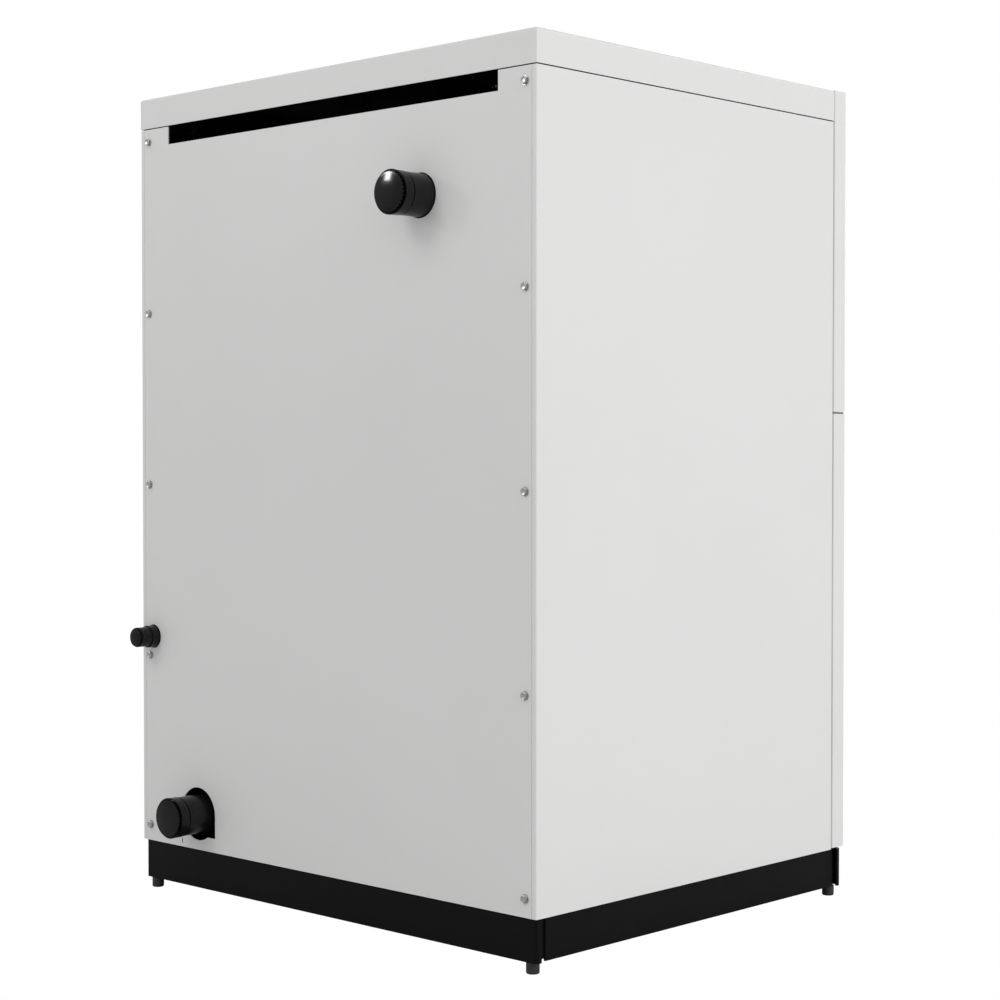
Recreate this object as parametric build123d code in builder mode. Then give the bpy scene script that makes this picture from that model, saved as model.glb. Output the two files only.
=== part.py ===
import os

from build123d import *

# A floor-standing atmospheric gas boiler. Millimetres, +Z up, the doors look along -Y and the
# pipe ports along +Y. The origin is on the floor, in the middle of the outline.

# Casing
casing_width = 580.0
casing_height = 800.0
plinth_height = 41.0
foot_reach = 11.0
sheet = 1.2
bend = 1.6
seam = 0.4
port_reach = 42.0

# Lid, and the gap that it leaves above the panels
lid_height = 32.0
lid_gap = 1.2
lid_bend = 3.0
stud_radius = 3.0
stud_shoulder = 7.0
stud_length = 12.0
stud_inset_x = 15.0
stud_inset_y = 60.0
lid_hole_gap = 4.0

# Doors
door_depth = 22.5
door_gap = 1.5
door_bend = 4.0
door_split = 462.0
door_split_gap = 2.3
door_floor_gap = 1.2
door_lip = 10.0
lug_thickness = 2.0
lug_gap = 0.4
grip_width = 30.0
grip_height = 90.0
grip_depth = 13.0
grip_wall = 1.6
grip_edge = 16.0
grip_from_seam = 30.0
stiffener_width = 40.0
stiffener_depth = 8.0
stiffener_edge = 54.0
pad_thickness = 8.0
pad_gap = 1.0

# Door hinges
pin_radius = 2.0
pin_clearance = 0.05
eye_radius = 3.7
pivot_from_side = 5.5
pivot_from_front = 8.0
bracket_thickness = 3.0
bracket_height = 30.0
neck_from_pivot = 18.0
neck_width = 14.0
arm_top = 1.4
arm_bottom = 4.6
hinge_from_end = 70.0

# Side panels, rear panel and its screws
strip_width = 5.6
joggle = 1.3
rear_flange = 22.0
front_flange = 22.0
level_flange = 24.0
notch_width = 485.0
notch_height = 18.8
screw_inset = 13.8
screw_first = 17.3
screw_pitch = 184.0
screw_edge = 10.0
washer_radius = 4.35
washer_height = 0.7
hexagon_radius = 3.7
hexagon_height = 2.1
screw_radius = 2.0
arch_radius = 28.0
arch_foot = 14.6
slit_width = 1.6
slit_height = 5.4
slit_from_arch = 27.0
slit_foot = 3.6

# Base frame, plinth and feet
rail_width = 30.0
rail_gap = 2.0
frame_inset = 7.0
air_width = 300.0
air_depth = 120.0
plinth_sheet = 2.0
plinth_side_inset = 2.0
plinth_rear_inset = 2.5
plinth_front_inset = 4.0
plinth_bend = 4.0
plinth_return = 7.0
board_inset = 5.0
board_rear_gap = 17.5
board_front_gap = 14.0
plinth_top_gap = 1.2
foot_radius = 6.25
foot_height = 10.6
foot_bend = 1.5
foot_inset_x = 13.0
foot_inset_rear = 9.5
foot_inset_front = 11.5
spindle_radius = 4.0
spindle_reach = 32.0
spindle_clearance = 0.05

# Front rails and magnetic catches
rail_depth = 22.0
mid_rail_height = 20.0
top_rail_height = 16.0
catch_width = 12.0
catch_height = 44.0
catch_gap = 0.5
catch_from_seam = 170.0

# Control box, fascia and what it holds
box_half_width = 232.0
box_bottom = 588.0
box_top = 743.0
box_front_gap = 12.0
box_depth = 86.0
box_wall = 1.5
fascia_thickness = 4.0
fascia_rim = 3.0
ear_width = 54.0
control_level = 665.0
knob_x = -60.0
knob_radius = 19.0
knob_height = 16.0
knob_gap = 0.6
shaft_radius = 3.0
shaft_reach = 12.0
thermostat_side = 46.0
thermostat_depth = 36.0
gauge_x = 62.0
gauge_radius = 30.0
gauge_bezel = 3.0
gauge_depth = 30.0
gauge_recess = 6.0
gauge_glass_thickness = 1.5
gauge_wall = 3.0
needle_length = 19.0
needle_thickness = 0.8
hub_radius = 3.0
switch_x = -160.0
switch_width = 24.0
switch_height = 34.0
switch_bezel = 2.5
switch_depth = 24.0
rocker_gap = 0.5
rocker_swing = 8.0
rocker_stand = 3.0
rocker_drop = 3.0
reset_x = 136.0
reset_radius = 7.0
igniter_x = 186.0
igniter_radius = 9.5
button_stand = 6.0
button_depth = 20.0
button_clearance = 0.3
button_collar = 1.6
lamp_x = -112.0
lamp_radius = 4.0
lamp_spacing = 26.0
lamp_stand = 2.0
gland_radius = 9.0
gland_bore = 4.0
gland_height = 22.0
gland_spacing = 40.0
gland_nut_radius = 12.0
gland_nut_height = 5.0

# Cast-iron block
section_pitch = 68.0
middle_count = 3
block_bottom = 178.0
block_height = 390.0
block_depth = 280.0
block_front_room = 106.0
block_rear_room = 76.0
waterway_width = 40.0
joint_gap = 0.4
iron_wall = 7.0
casting_round = 8.0
rim_depth = 12.0
rib_width = 8.0
rib_reach = 12.0
rib_spacing = 32.0
rib_margin = 70.0
hub_outer = 32.0
hub_bore = 24.0
upper_hub_drop = 50.0
lower_hub_rise = 40.0
hub_from_rear = 55.0
nipple_length = 30.0
nipple_wall = 3.5
rod_radius = 5.0
rod_offset = 8.0
rod_low = 110.0
rod_high = 270.0
rod_end = 16.0
lug_size = 18.0
nut_radius = 8.5
nut_height = 8.0
insulation = 16.0
insulation_gap = 6.0
insulation_drop = 45.0
insulation_rise = 10.0

# Combustion chamber, burners and gas train
chamber_wall = 4.0
chamber_flange = 24.0
shield_level = 48.0
shield_thickness = 2.0
burner_width = 24.0
burner_height = 34.0
burner_length = 236.0
burner_level = 122.0
burner_wall = 2.0
burner_round = 10.0
slot_width = 2.4
slot_pitch = 12.0
slot_count = 17
venturi_radius = 11.0
venturi_mouth = 14.0
venturi_length = 22.0
venturi_gap = 1.0
front_plate = 3.0
plate_edge = 6.0
sight_radius = 12.0
sight_x = -68.0
sight_rise = 34.0
manifold_radius = 12.0
manifold_bore = 9.0
manifold_from_venturi = 36.0
injector_radius = 5.0
injector_bore = 1.5
injector_gap = 6.0
valve_width = 80.0
valve_height = 84.0
valve_depth = 64.0
valve_x = 134.0
valve_round = 5.0
tower_radius = 16.0
tower_height = 24.0
valve_knob_radius = 14.0
valve_knob_height = 14.0
valve_knob_rise = 24.0
pilot_x = 0.0
pilot_radius = 5.0
pilot_length = 44.0
pilot_rise = 20.0
pilot_strap = 8.0
probe_radius = 2.2
probe_offset = 11.0

# Draught hood and flue
hood_wall = 1.5
hood_side_inset = 4.0
relief_width = 280.0
relief_height = 50.0
relief_drop = 12.0
baffle_drop = 70.0
baffle_depth = 120.0
flue_radius = 65.0
flue_wall = 1.5
flue_from_rear = 74.0
flue_above_lid = 12.0
hood_below_lid = 40.0

# Water pipes, gas pipe, caps and drain cock
pipe_radius = 20.5
pipe_wall = 3.0
thread_radius = 20.95
thread_length = 10.0
groove_radius = 19.0
groove_length = 1.6
pipe_bend = 28.0
pipe_hole_gap = 1.0
flow_x = -141.0
flow_z = 662.0
return_x = 195.0
return_z = 38.0
riser_from_rear = 36.0
cap_radius = 20.6
cap_rim = 3.0
cap_dome = 1.6
cap_stem = 14.0
cap_clearance = 0.1
serration_count = 32
serration_radius = 0.9
gas_inset = 19.0
gas_z = 221.6
gas_reach = 24.9
gas_thread_radius = 10.48
gas_bore = 7.5
gas_nut_radius = 11.7
gas_nut_length = 9.0
gas_bend = 24.0
gas_cap_radius = 10.2
gas_cap_rim = 2.6
gas_cap_stem = 9.0
drain_radius = 11.0
drain_length = 55.0
tail_setback = 3.0
drain_hose_radius = 7.0
drain_hose_length = 22.0
drain_bore = 4.0
lever_width = 9.0
lever_length = 34.0
lever_thickness = 3.0
lever_hub_radius = 6.0
lever_hub_height = 7.0

# Leads and capillaries
lead_radius = 2.4
lead_bend = 22.0
capillary_radius = 1.3
capillary_bend = 12.0
phial_radius = 4.0
phial_length = 34.0

# Places that follow from the sizes above
half_width = casing_width / 2
casing_depth = block_front_room + block_depth + block_rear_room
total_depth = port_reach + casing_depth + door_gap + door_depth
rear_y = total_depth / 2 - port_reach
panel_front_y = rear_y - casing_depth
door_rear_y = panel_front_y - door_gap
block_y = (panel_front_y + block_front_room, rear_y - block_rear_room)
flue_y = block_y[1] - flue_from_rear
front_y = -total_depth / 2
casing_z = foot_reach + plinth_height
lid_top = casing_z + casing_height
lid_bottom = lid_top - lid_height
panel_top = lid_bottom - lid_gap
screw_count = int((panel_top - casing_z - screw_first - screw_edge) / screw_pitch) + 1
inner_x = half_width - sheet
gas_x = half_width - gas_inset
split_z = casing_z + door_split


def slab(low, high, mode=Mode.ADD):
    """A box between two corners."""
    size = [abs(b - a) for a, b in zip(low, high)]
    middle = [(a + b) / 2 for a, b in zip(low, high)]
    with Locations(tuple(middle)):
        return Box(*size, mode=mode)


def drum_x(x0, x1, y, z, radius, mode=Mode.ADD):
    """A round bar along X."""
    with Locations(((x0 + x1) / 2, y, z)):
        return Cylinder(radius, x1 - x0, rotation=(0, 90, 0), mode=mode)


def drum_y(x, y0, y1, z, radius, mode=Mode.ADD):
    """A round bar along Y."""
    with Locations((x, (y0 + y1) / 2, z)):
        return Cylinder(radius, y1 - y0, rotation=(90, 0, 0), mode=mode)


def drum_z(x, y, z0, z1, radius, mode=Mode.ADD):
    """A round bar along Z."""
    with Locations((x, y, (z0 + z1) / 2)):
        return Cylinder(radius, z1 - z0, mode=mode)


os.makedirs("parts", exist_ok=True)

# Base frame: a welded ring of box rails with a floor pan on top, open for the burner's air
frame_x = half_width - frame_inset
frame_rear_y = rear_y - plinth_rear_inset - plinth_sheet
frame_front_y = front_y + plinth_front_inset + plinth_sheet
frame_bottom = foot_reach + rail_gap
feet_y = {"rear": rear_y - foot_inset_rear, "front": front_y + foot_inset_front}
foot_x = half_width - foot_inset_x
spindle_top = foot_height + spindle_reach
with BuildPart() as base_frame:
    slab((-frame_x, frame_front_y, frame_bottom), (frame_x, frame_rear_y, casing_z))
    slab(
        (-frame_x + rail_width, frame_front_y + rail_width, frame_bottom),
        (frame_x - rail_width, frame_rear_y - rail_width, casing_z - sheet),
        Mode.SUBTRACT,
    )
    slab(
        (-air_width / 2, -air_depth / 2, frame_bottom),
        (air_width / 2, air_depth / 2, casing_z),
        Mode.SUBTRACT,
    )
    for y in feet_y.values():
        for x in (-foot_x, foot_x):
            drum_z(x, y, frame_bottom, spindle_top + seam, spindle_radius + spindle_clearance, Mode.SUBTRACT)
base_frame.part.label = "base_frame"
export_step(base_frame.part, "parts/base_frame.step")

# Plinth ends: folded steel boards at the rear and the front, with short rounded returns
plinth_x = half_width - plinth_side_inset
plinth_top = casing_z - plinth_top_gap
plinth_rear_y = rear_y - plinth_rear_inset
plinth_front_y = front_y + plinth_front_inset


def plinth_end(outer_y, towards):
    """One folded end board, whose returns point along towards (+1 is +Y)."""
    with BuildPart() as board:
        with BuildSketch(Plane.XY.offset(foot_reach)):
            with Locations((0, outer_y + towards * plinth_return / 2)):
                Rectangle(2 * plinth_x, plinth_return)
            with Locations((0, outer_y + towards * (plinth_return / 2 + plinth_sheet))):
                Rectangle(2 * (plinth_x - plinth_sheet), plinth_return, mode=Mode.SUBTRACT)
        extrude(amount=plinth_top - foot_reach)
        corners = [e for e in board.edges().filter_by(Axis.Z) if abs(e.center().Y - outer_y) < seam]
        fillet(corners, plinth_bend)
    return board


plinth_rear = plinth_end(plinth_rear_y, -1)
plinth_rear.part.label = "plinth_rear"
export_step(plinth_rear.part, "parts/plinth_rear.step")

plinth_front = plinth_end(plinth_front_y, 1)
plinth_front.part.label = "plinth_front"
export_step(plinth_front.part, "parts/plinth_front.step")

# Plinth sides: two set-back boards, each with its ends turned in round the rails
board_x = half_width - board_inset
board_rear_y = rear_y - board_rear_gap
board_front_y = front_y + board_front_gap
with BuildPart() as plinth_sides:
    for x in (-1, 1):
        slab(
            (x * frame_x, board_front_y, foot_reach),
            (x * board_x, board_rear_y, plinth_top),
        )
    outer = plinth_sides.edges().filter_by(Axis.Z)
    fillet([e for e in outer if abs(e.center().X) > board_x - seam], plinth_sheet * 0.9)
plinth_sides.part.label = "plinth_sides"
export_step(plinth_sides.part, "parts/plinth_sides.step")

# Feet: a pad with a rounded edge on a spindle that screws into the base frame
for row, foot_y in feet_y.items():
    for side, x in (("left", -foot_x), ("right", foot_x)):
        with BuildPart() as foot:
            drum_z(x, foot_y, 0, foot_height, foot_radius)
            fillet(foot.edges().group_by(Axis.Z)[0], foot_bend)
            drum_z(x, foot_y, foot_height, spindle_top, spindle_radius)
        foot.part.label = f"foot_{row}_{side}"
        export_step(foot.part, f"parts/foot_{row}_{side}.step")

# Side panels: one folded sheet each, with flanges at the front, rear, top and bottom. The rear
# flange steps in by the joggle, so that the rear panel lies flush beside the outer strip
strip_x = half_width - strip_width
rear_flange_x = strip_x - rear_flange
front_flange_x = half_width - front_flange
seat_y = rear_y - joggle
stud_x = half_width - stud_inset_x
gas_hole_radius = gas_nut_radius + pipe_hole_gap
level_x = half_width - level_flange
stud_ys = (panel_front_y + stud_inset_y, rear_y - stud_inset_y)
with BuildPart() as side_panel_right:
    with BuildSketch(Plane.XY.offset(casing_z)):
        with BuildLine():
            Polyline(
                (half_width, panel_front_y),
                (half_width, rear_y),
                (strip_x, rear_y),
                (strip_x, seat_y),
                (rear_flange_x, seat_y),
                (rear_flange_x, seat_y - sheet),
                (strip_x + sheet, seat_y - sheet),
                (strip_x + sheet, rear_y - sheet),
                (inner_x, rear_y - sheet),
                (inner_x, panel_front_y + sheet),
                (front_flange_x, panel_front_y + sheet),
                (front_flange_x, panel_front_y),
                close=True,
            )
        make_face()
    extrude(amount=panel_top - casing_z)
    fillet([e for e in side_panel_right.edges().filter_by(Axis.Z) if e.center().X > half_width - seam], bend)
    flange_rear_y = rear_y - sheet - joggle - seam
    for z in (casing_z, panel_top - sheet):
        slab((level_x, panel_front_y + sheet, z), (inner_x, flange_rear_y, z + sheet))
    for y in stud_ys:
        drum_z(stud_x, y, panel_top - sheet, panel_top, stud_radius + seam, Mode.SUBTRACT)
    for i in range(screw_count):
        screw_z = casing_z + screw_first + i * screw_pitch
        drum_y(half_width - screw_inset, seat_y - sheet, seat_y, screw_z, screw_radius, Mode.SUBTRACT)
with BuildPart() as side_panel_left:
    add(side_panel_right.part.mirror(Plane.YZ))
with BuildPart(mode=Mode.PRIVATE) as gas_hole:
    drum_y(gas_x, seat_y - 2 * joggle, rear_y + joggle, casing_z + gas_z, gas_hole_radius)
with BuildPart() as side_panel_pierced:
    add(side_panel_right.part)
    add(gas_hole.part, mode=Mode.SUBTRACT)
side_panel_pierced.part.label = "side_panel_right"
export_step(side_panel_pierced.part, "parts/side_panel_right.step")
side_panel_left.part.label = "side_panel_left"
export_step(side_panel_left.part, "parts/side_panel_left.step")

# Rear panel: flush between the side strips, with the relief notch, the pipe holes and the arch
rear_panel_x = strip_x - seam
slit_x = return_x + slit_from_arch
with BuildPart() as rear_panel:
    with BuildSketch(Plane.XZ.offset(-rear_y)) as rear_outline:
        with Locations((0, (casing_z + panel_top) / 2)):
            Rectangle(2 * rear_panel_x, panel_top - casing_z)
        with Locations((0, panel_top - notch_height / 2)):
            Rectangle(notch_width, notch_height, mode=Mode.SUBTRACT)
        with Locations((flow_x, casing_z + flow_z)):
            Circle(pipe_radius + pipe_hole_gap, mode=Mode.SUBTRACT)
        with Locations((gas_x, casing_z + gas_z)):
            Circle(gas_hole_radius, mode=Mode.SUBTRACT)
        with Locations((return_x, casing_z + return_z)):
            Circle(arch_radius, mode=Mode.SUBTRACT)
        with Locations((return_x, casing_z + (arch_foot + return_z) / 2)):
            Rectangle(2 * arch_radius, return_z - arch_foot, mode=Mode.SUBTRACT)
        with Locations((slit_x, casing_z + slit_foot + slit_height / 2)):
            Rectangle(slit_width, slit_height, mode=Mode.SUBTRACT)
        for i in range(screw_count):
            screw_z = casing_z + screw_first + i * screw_pitch
            with Locations((half_width - screw_inset, screw_z), (screw_inset - half_width, screw_z)):
                Circle(screw_radius, mode=Mode.SUBTRACT)
    extrude(amount=sheet)
rear_panel.part.label = "rear_panel"
export_step(rear_panel.part, "parts/rear_panel.step")

# Rear panel screws: ten sheet metal screws with a washer face and a hexagon head
with BuildPart() as rear_panel_screws:
    for i in range(screw_count):
        screw_z = casing_z + screw_first + i * screw_pitch
        for x in (half_width - screw_inset, screw_inset - half_width):
            drum_y(x, seat_y - 6 * sheet, rear_y, screw_z, screw_radius)
            drum_y(x, rear_y, rear_y + washer_height, screw_z, washer_radius)
            with BuildSketch(Plane.XZ.offset(-rear_y - washer_height)):
                with Locations((x, screw_z)):
                    RegularPolygon(hexagon_radius, 6)
            extrude(amount=-hexagon_height)
rear_panel_screws.part.label = "rear_panel_screws"
export_step(rear_panel_screws.part, "parts/rear_panel_screws.step")

# Front rails: two cross bars between the side panels' front flanges
rail_front_y = panel_front_y + sheet
mid_rail_z = split_z - mid_rail_height / 2
top_rail_z = panel_top - sheet - top_rail_height
with BuildPart() as front_rails:
    for rail_z, rail_height in ((mid_rail_z, mid_rail_height), (top_rail_z, top_rail_height)):
        slab((-inner_x, rail_front_y, rail_z), (inner_x, rail_front_y + rail_depth, rail_z + rail_height))
front_rails.part.label = "front_rails"
export_step(front_rails.part, "parts/front_rails.step")

# Lid: a folded tray over the panels, standing on four studs that drop into the top flanges
flue_collar_radius = flue_radius + flue_wall
with BuildPart() as top_lid:
    slab((-half_width, panel_front_y, lid_bottom), (half_width, rear_y, lid_top))
    top_edges = top_lid.edges().group_by(Axis.Z)[-1]
    fillet(top_edges.filter_by(Axis.Y) + top_edges.filter_by(Axis.X).sort_by(Axis.Y)[-1:], lid_bend)
    slab(
        (-inner_x, panel_front_y + sheet, lid_bottom),
        (inner_x, rear_y - sheet, lid_top - sheet),
        Mode.SUBTRACT,
    )
    drum_z(0, flue_y, lid_top - sheet, lid_top, flue_collar_radius + lid_hole_gap, Mode.SUBTRACT)
    for y in stud_ys:
        for x in (-stud_x, stud_x):
            drum_z(x, y, panel_top, lid_top - sheet, stud_shoulder)
            drum_z(x, y, panel_top - stud_length, panel_top, stud_radius)
top_lid.part.label = "top_lid"
export_step(top_lid.part, "parts/top_lid.step")

# Door hinges: where the pins stand, and the levels of the brackets on each door
pivot_x = half_width - pivot_from_side
pivot_y = front_y + pivot_from_front
lower_door_z = (casing_z + door_floor_gap, split_z - door_split_gap / 2)
upper_door_z = (split_z + door_split_gap / 2, lid_top)
bracket_levels = {
    "lower": (lower_door_z[0] + hinge_from_end, lower_door_z[1] - hinge_from_end),
    "upper": (upper_door_z[0] + hinge_from_end, upper_door_z[1] - hinge_from_end),
}
all_levels = bracket_levels["lower"] + bracket_levels["upper"]
arm_low_y = pivot_y - arm_bottom
arm_high_y = pivot_y + arm_top
neck_x = pivot_x - neck_from_pivot
with BuildPart() as door_hinge_brackets:
    for z in all_levels:
        # the foot plate on the side panel's front flange
        slab(
            (neck_x - neck_width, panel_front_y - bracket_thickness, z - bracket_height),
            (neck_x, panel_front_y, z + bracket_thickness),
        )
        # the neck, the arm and the eye
        slab(
            (neck_x - neck_width, arm_low_y, z),
            (neck_x, panel_front_y - bracket_thickness, z + bracket_thickness),
        )
        slab((neck_x, arm_low_y, z), (pivot_x, arm_high_y, z + bracket_thickness))
        drum_z(pivot_x, pivot_y, z, z + bracket_thickness, eye_radius)
        drum_z(pivot_x, pivot_y, z, z + bracket_thickness, pin_radius, Mode.SUBTRACT)
door_hinge_brackets.part.label = "door_hinge_brackets"
export_step(door_hinge_brackets.part, "parts/door_hinge_brackets.step")

# Hinge pins: pressed into the bracket eyes, with the door lug above
with BuildPart() as door_hinge_pins:
    for z in all_levels:
        pin_top = z + bracket_thickness + lug_gap + 3 * lug_thickness
        drum_z(pivot_x, pivot_y, z, pin_top, pin_radius)
door_hinge_pins.part.label = "door_hinge_pins"
export_step(door_hinge_pins.part, "parts/door_hinge_pins.step")

# Doors: a deep folded pan each, open at the back, with lugs on the hinge side, a lip on the
# other three, a recess for the grip and two stiffeners that the catches hold
door_inner_y = front_y + sheet
grip_x = grip_edge + grip_width / 2 - half_width
stiffener_xs = (stiffener_edge - half_width, half_width - stiffener_edge - stiffener_width)
grip_levels = {
    "lower": lower_door_z[1] - grip_from_seam - grip_height / 2,
    "upper": upper_door_z[0] + grip_from_seam + grip_height / 2,
}


def door(low_z, high_z, levels, grip_z):
    """One door between two heights, with a lug above each hinge bracket."""
    with BuildPart() as pan:
        slab((-half_width, front_y, low_z), (half_width, door_rear_y, high_z))
        front_edges = pan.edges().group_by(Axis.Y)[0]
        fillet(front_edges, door_bend)
        slab((-inner_x, door_inner_y, low_z + sheet), (inner_x, door_rear_y, high_z - sheet), Mode.SUBTRACT)
        lip_y = door_rear_y - sheet
        slab((-inner_x, lip_y, low_z + sheet), (door_lip - inner_x, door_rear_y, high_z - sheet))
        slab((-inner_x, lip_y, low_z + sheet), (inner_x, door_rear_y, low_z + door_lip))
        slab((-inner_x, lip_y, high_z - door_lip), (inner_x, door_rear_y, high_z - sheet))
        for z in levels:
            lug_z = z + bracket_thickness + lug_gap
            slab(
                (pivot_x - pivot_from_front, door_inner_y, lug_z),
                (inner_x, pivot_y + pivot_from_side, lug_z + lug_thickness),
            )
            drum_z(pivot_x, pivot_y, lug_z, lug_z + lug_thickness, pin_radius + pin_clearance, Mode.SUBTRACT)
        for x in stiffener_xs:
            slab(
                (x, door_inner_y, low_z + 2 * door_lip),
                (x + stiffener_width, door_inner_y + stiffener_depth, high_z - 2 * door_lip),
            )
            slab(
                (x + sheet, door_inner_y, low_z + 2 * door_lip),
                (x + stiffener_width - sheet, door_inner_y + stiffener_depth - sheet, high_z - 2 * door_lip),
                Mode.SUBTRACT,
            )
        slab(
            (grip_x - grip_width / 2, front_y, grip_z - grip_height / 2),
            (grip_x + grip_width / 2, door_inner_y, grip_z + grip_height / 2),
            Mode.SUBTRACT,
        )
    return pan


def grip(grip_z):
    """A moulded finger cup, flush with the door's face."""
    with BuildPart() as cup:
        slab(
            (grip_x - grip_width / 2, front_y, grip_z - grip_height / 2),
            (grip_x + grip_width / 2, front_y + grip_depth, grip_z + grip_height / 2),
        )
        fillet(cup.edges().group_by(Axis.Y)[-1], grip_wall)
        hollow_x, hollow_z = grip_width / 2 - grip_wall, grip_height / 2 - grip_wall
        slab(
            (grip_x - hollow_x, front_y, grip_z - hollow_z),
            (grip_x + hollow_x, front_y + grip_depth - grip_wall, grip_z + hollow_z),
            Mode.SUBTRACT,
        )
    return cup


lower_door = door(*lower_door_z, bracket_levels["lower"], grip_levels["lower"])
lower_door.part.label = "lower_door"
export_step(lower_door.part, "parts/lower_door.step")
upper_door = door(*upper_door_z, bracket_levels["upper"], grip_levels["upper"])
upper_door.part.label = "upper_door"
export_step(upper_door.part, "parts/upper_door.step")
lower_door_grip = grip(grip_levels["lower"])
lower_door_grip.part.label = "lower_door_grip"
export_step(lower_door_grip.part, "parts/lower_door_grip.step")
upper_door_grip = grip(grip_levels["upper"])
upper_door_grip.part.label = "upper_door_grip"
export_step(upper_door_grip.part, "parts/upper_door_grip.step")

# Door insulation: a mineral wool pad between the stiffeners of the lower door
with BuildPart() as lower_door_insulation:
    slab(
        (stiffener_xs[0] + stiffener_width + pad_gap, door_inner_y, lower_door_z[0] + 3 * door_lip),
        (stiffener_xs[1] - pad_gap, door_inner_y + pad_thickness, lower_door_z[1] - 3 * door_lip),
    )
    fillet(lower_door_insulation.edges().filter_by(Axis.Y), 3 * grip_wall)
lower_door_insulation.part.label = "lower_door_insulation"
export_step(lower_door_insulation.part, "parts/lower_door_insulation.step")

# Magnetic catches: one block on the left front flange for each door, just short of a stiffener
catch_front_y = door_inner_y + stiffener_depth + catch_gap
with BuildPart() as magnetic_catches:
    for z in (split_z - catch_from_seam, split_z + catch_from_seam):
        slab(
            (front_flange_x * -1 - catch_width / 2, catch_front_y, z - catch_height / 2),
            (front_flange_x * -1 + catch_width, panel_front_y, z + catch_height / 2),
        )
magnetic_catches.part.label = "magnetic_catches"
export_step(magnetic_catches.part, "parts/magnetic_catches.step")

# Control box: a folded housing behind the upper door, with ears behind the front flanges
control_y = panel_front_y + box_front_gap
box_z = (casing_z + box_bottom, casing_z + box_top)
box_rear_y = control_y + box_depth
knob_z = casing_z + control_level
gland_y = control_y + 2 * gland_nut_radius
gland_xs = (pilot_x, pilot_x + gland_spacing)
with BuildPart() as control_box:
    slab((-box_half_width, control_y, box_z[0]), (box_half_width, box_rear_y, box_z[1]))
    slab(
        (box_wall - box_half_width, control_y, box_z[0] + box_wall),
        (box_half_width - box_wall, box_rear_y - box_wall, box_z[1] - box_wall),
        Mode.SUBTRACT,
    )
    for side in (-1, 1):
        slab(
            (side * box_half_width, rail_front_y, box_z[0]),
            (side * (box_half_width + ear_width), rail_front_y + box_wall, box_z[1]),
        )
        slab(
            (side * box_half_width, rail_front_y, box_z[0]),
            (side * (box_half_width + box_wall), control_y + box_wall, box_z[1]),
        )
    for x in gland_xs:
        drum_z(x, gland_y, box_z[0], box_z[0] + box_wall, gland_radius, Mode.SUBTRACT)
control_box.part.label = "control_box"
export_step(control_box.part, "parts/control_box.step")

# Control fascia: a moulded panel in the mouth of the control box
fascia_y = control_y - fascia_thickness
gauge_bore = gauge_radius - gauge_bezel
with BuildPart() as control_fascia:
    slab((-box_half_width, fascia_y, box_z[0]), (box_half_width, control_y, box_z[1]))
    fillet(control_fascia.edges().group_by(Axis.Y)[0], fascia_rim / 2)
    drum_y(knob_x, fascia_y, control_y, knob_z, shaft_radius + knob_gap, Mode.SUBTRACT)
    drum_y(gauge_x, fascia_y, control_y, knob_z, gauge_bore, Mode.SUBTRACT)
    drum_y(reset_x, fascia_y, control_y, knob_z, reset_radius + button_clearance, Mode.SUBTRACT)
    drum_y(igniter_x, fascia_y, control_y, knob_z, igniter_radius + button_clearance, Mode.SUBTRACT)
    slab(
        (switch_x - switch_width / 2, fascia_y, knob_z - switch_height / 2),
        (switch_x + switch_width / 2, control_y, knob_z + switch_height / 2),
        Mode.SUBTRACT,
    )
    for side in (-1, 1):
        drum_y(lamp_x, fascia_y, control_y, knob_z + side * lamp_spacing / 2, lamp_radius, Mode.SUBTRACT)
control_fascia.part.label = "control_fascia"
export_step(control_fascia.part, "parts/control_fascia.step")

# Thermostat: a square body behind the fascia, with a shaft that carries the knob
with BuildPart() as thermostat_body:
    half_side = thermostat_side / 2
    slab(
        (knob_x - half_side, control_y, knob_z - half_side),
        (knob_x + half_side, control_y + thermostat_depth, knob_z + half_side),
    )
    fillet(thermostat_body.edges().filter_by(Axis.Y), fascia_rim)
    drum_y(knob_x, fascia_y - shaft_reach, control_y, knob_z, shaft_radius)
thermostat_body.part.label = "thermostat_body"
export_step(thermostat_body.part, "parts/thermostat_body.step")

with BuildPart() as thermostat_knob:
    knob_y = fascia_y - knob_gap
    drum_y(knob_x, knob_y - knob_height, knob_y, knob_z, knob_radius)
    fillet(thermostat_knob.edges().group_by(Axis.Y)[0], fascia_rim)
    knob_bore = shaft_radius + spindle_clearance
    drum_y(knob_x, fascia_y - shaft_reach - seam, knob_y, knob_z, knob_bore, Mode.SUBTRACT)
thermostat_knob.part.label = "thermostat_knob"
export_step(thermostat_knob.part, "parts/thermostat_knob.step")

# Thermometer: a cup with a bezel, a needle on its floor and a glass over it
gauge_floor_y = fascia_y + gauge_recess
with BuildPart() as gauge_body:
    drum_y(gauge_x, fascia_y - gauge_bezel, fascia_y, knob_z, gauge_radius)
    drum_y(gauge_x, fascia_y, fascia_y + gauge_depth, knob_z, gauge_bore)
    drum_y(gauge_x, fascia_y - gauge_bezel, gauge_floor_y, knob_z, gauge_bore - gauge_wall, Mode.SUBTRACT)
    drum_y(gauge_x, gauge_floor_y - gauge_wall, gauge_floor_y, knob_z, needle_thickness)
gauge_body.part.label = "gauge_body"
export_step(gauge_body.part, "parts/gauge_body.step")

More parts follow.
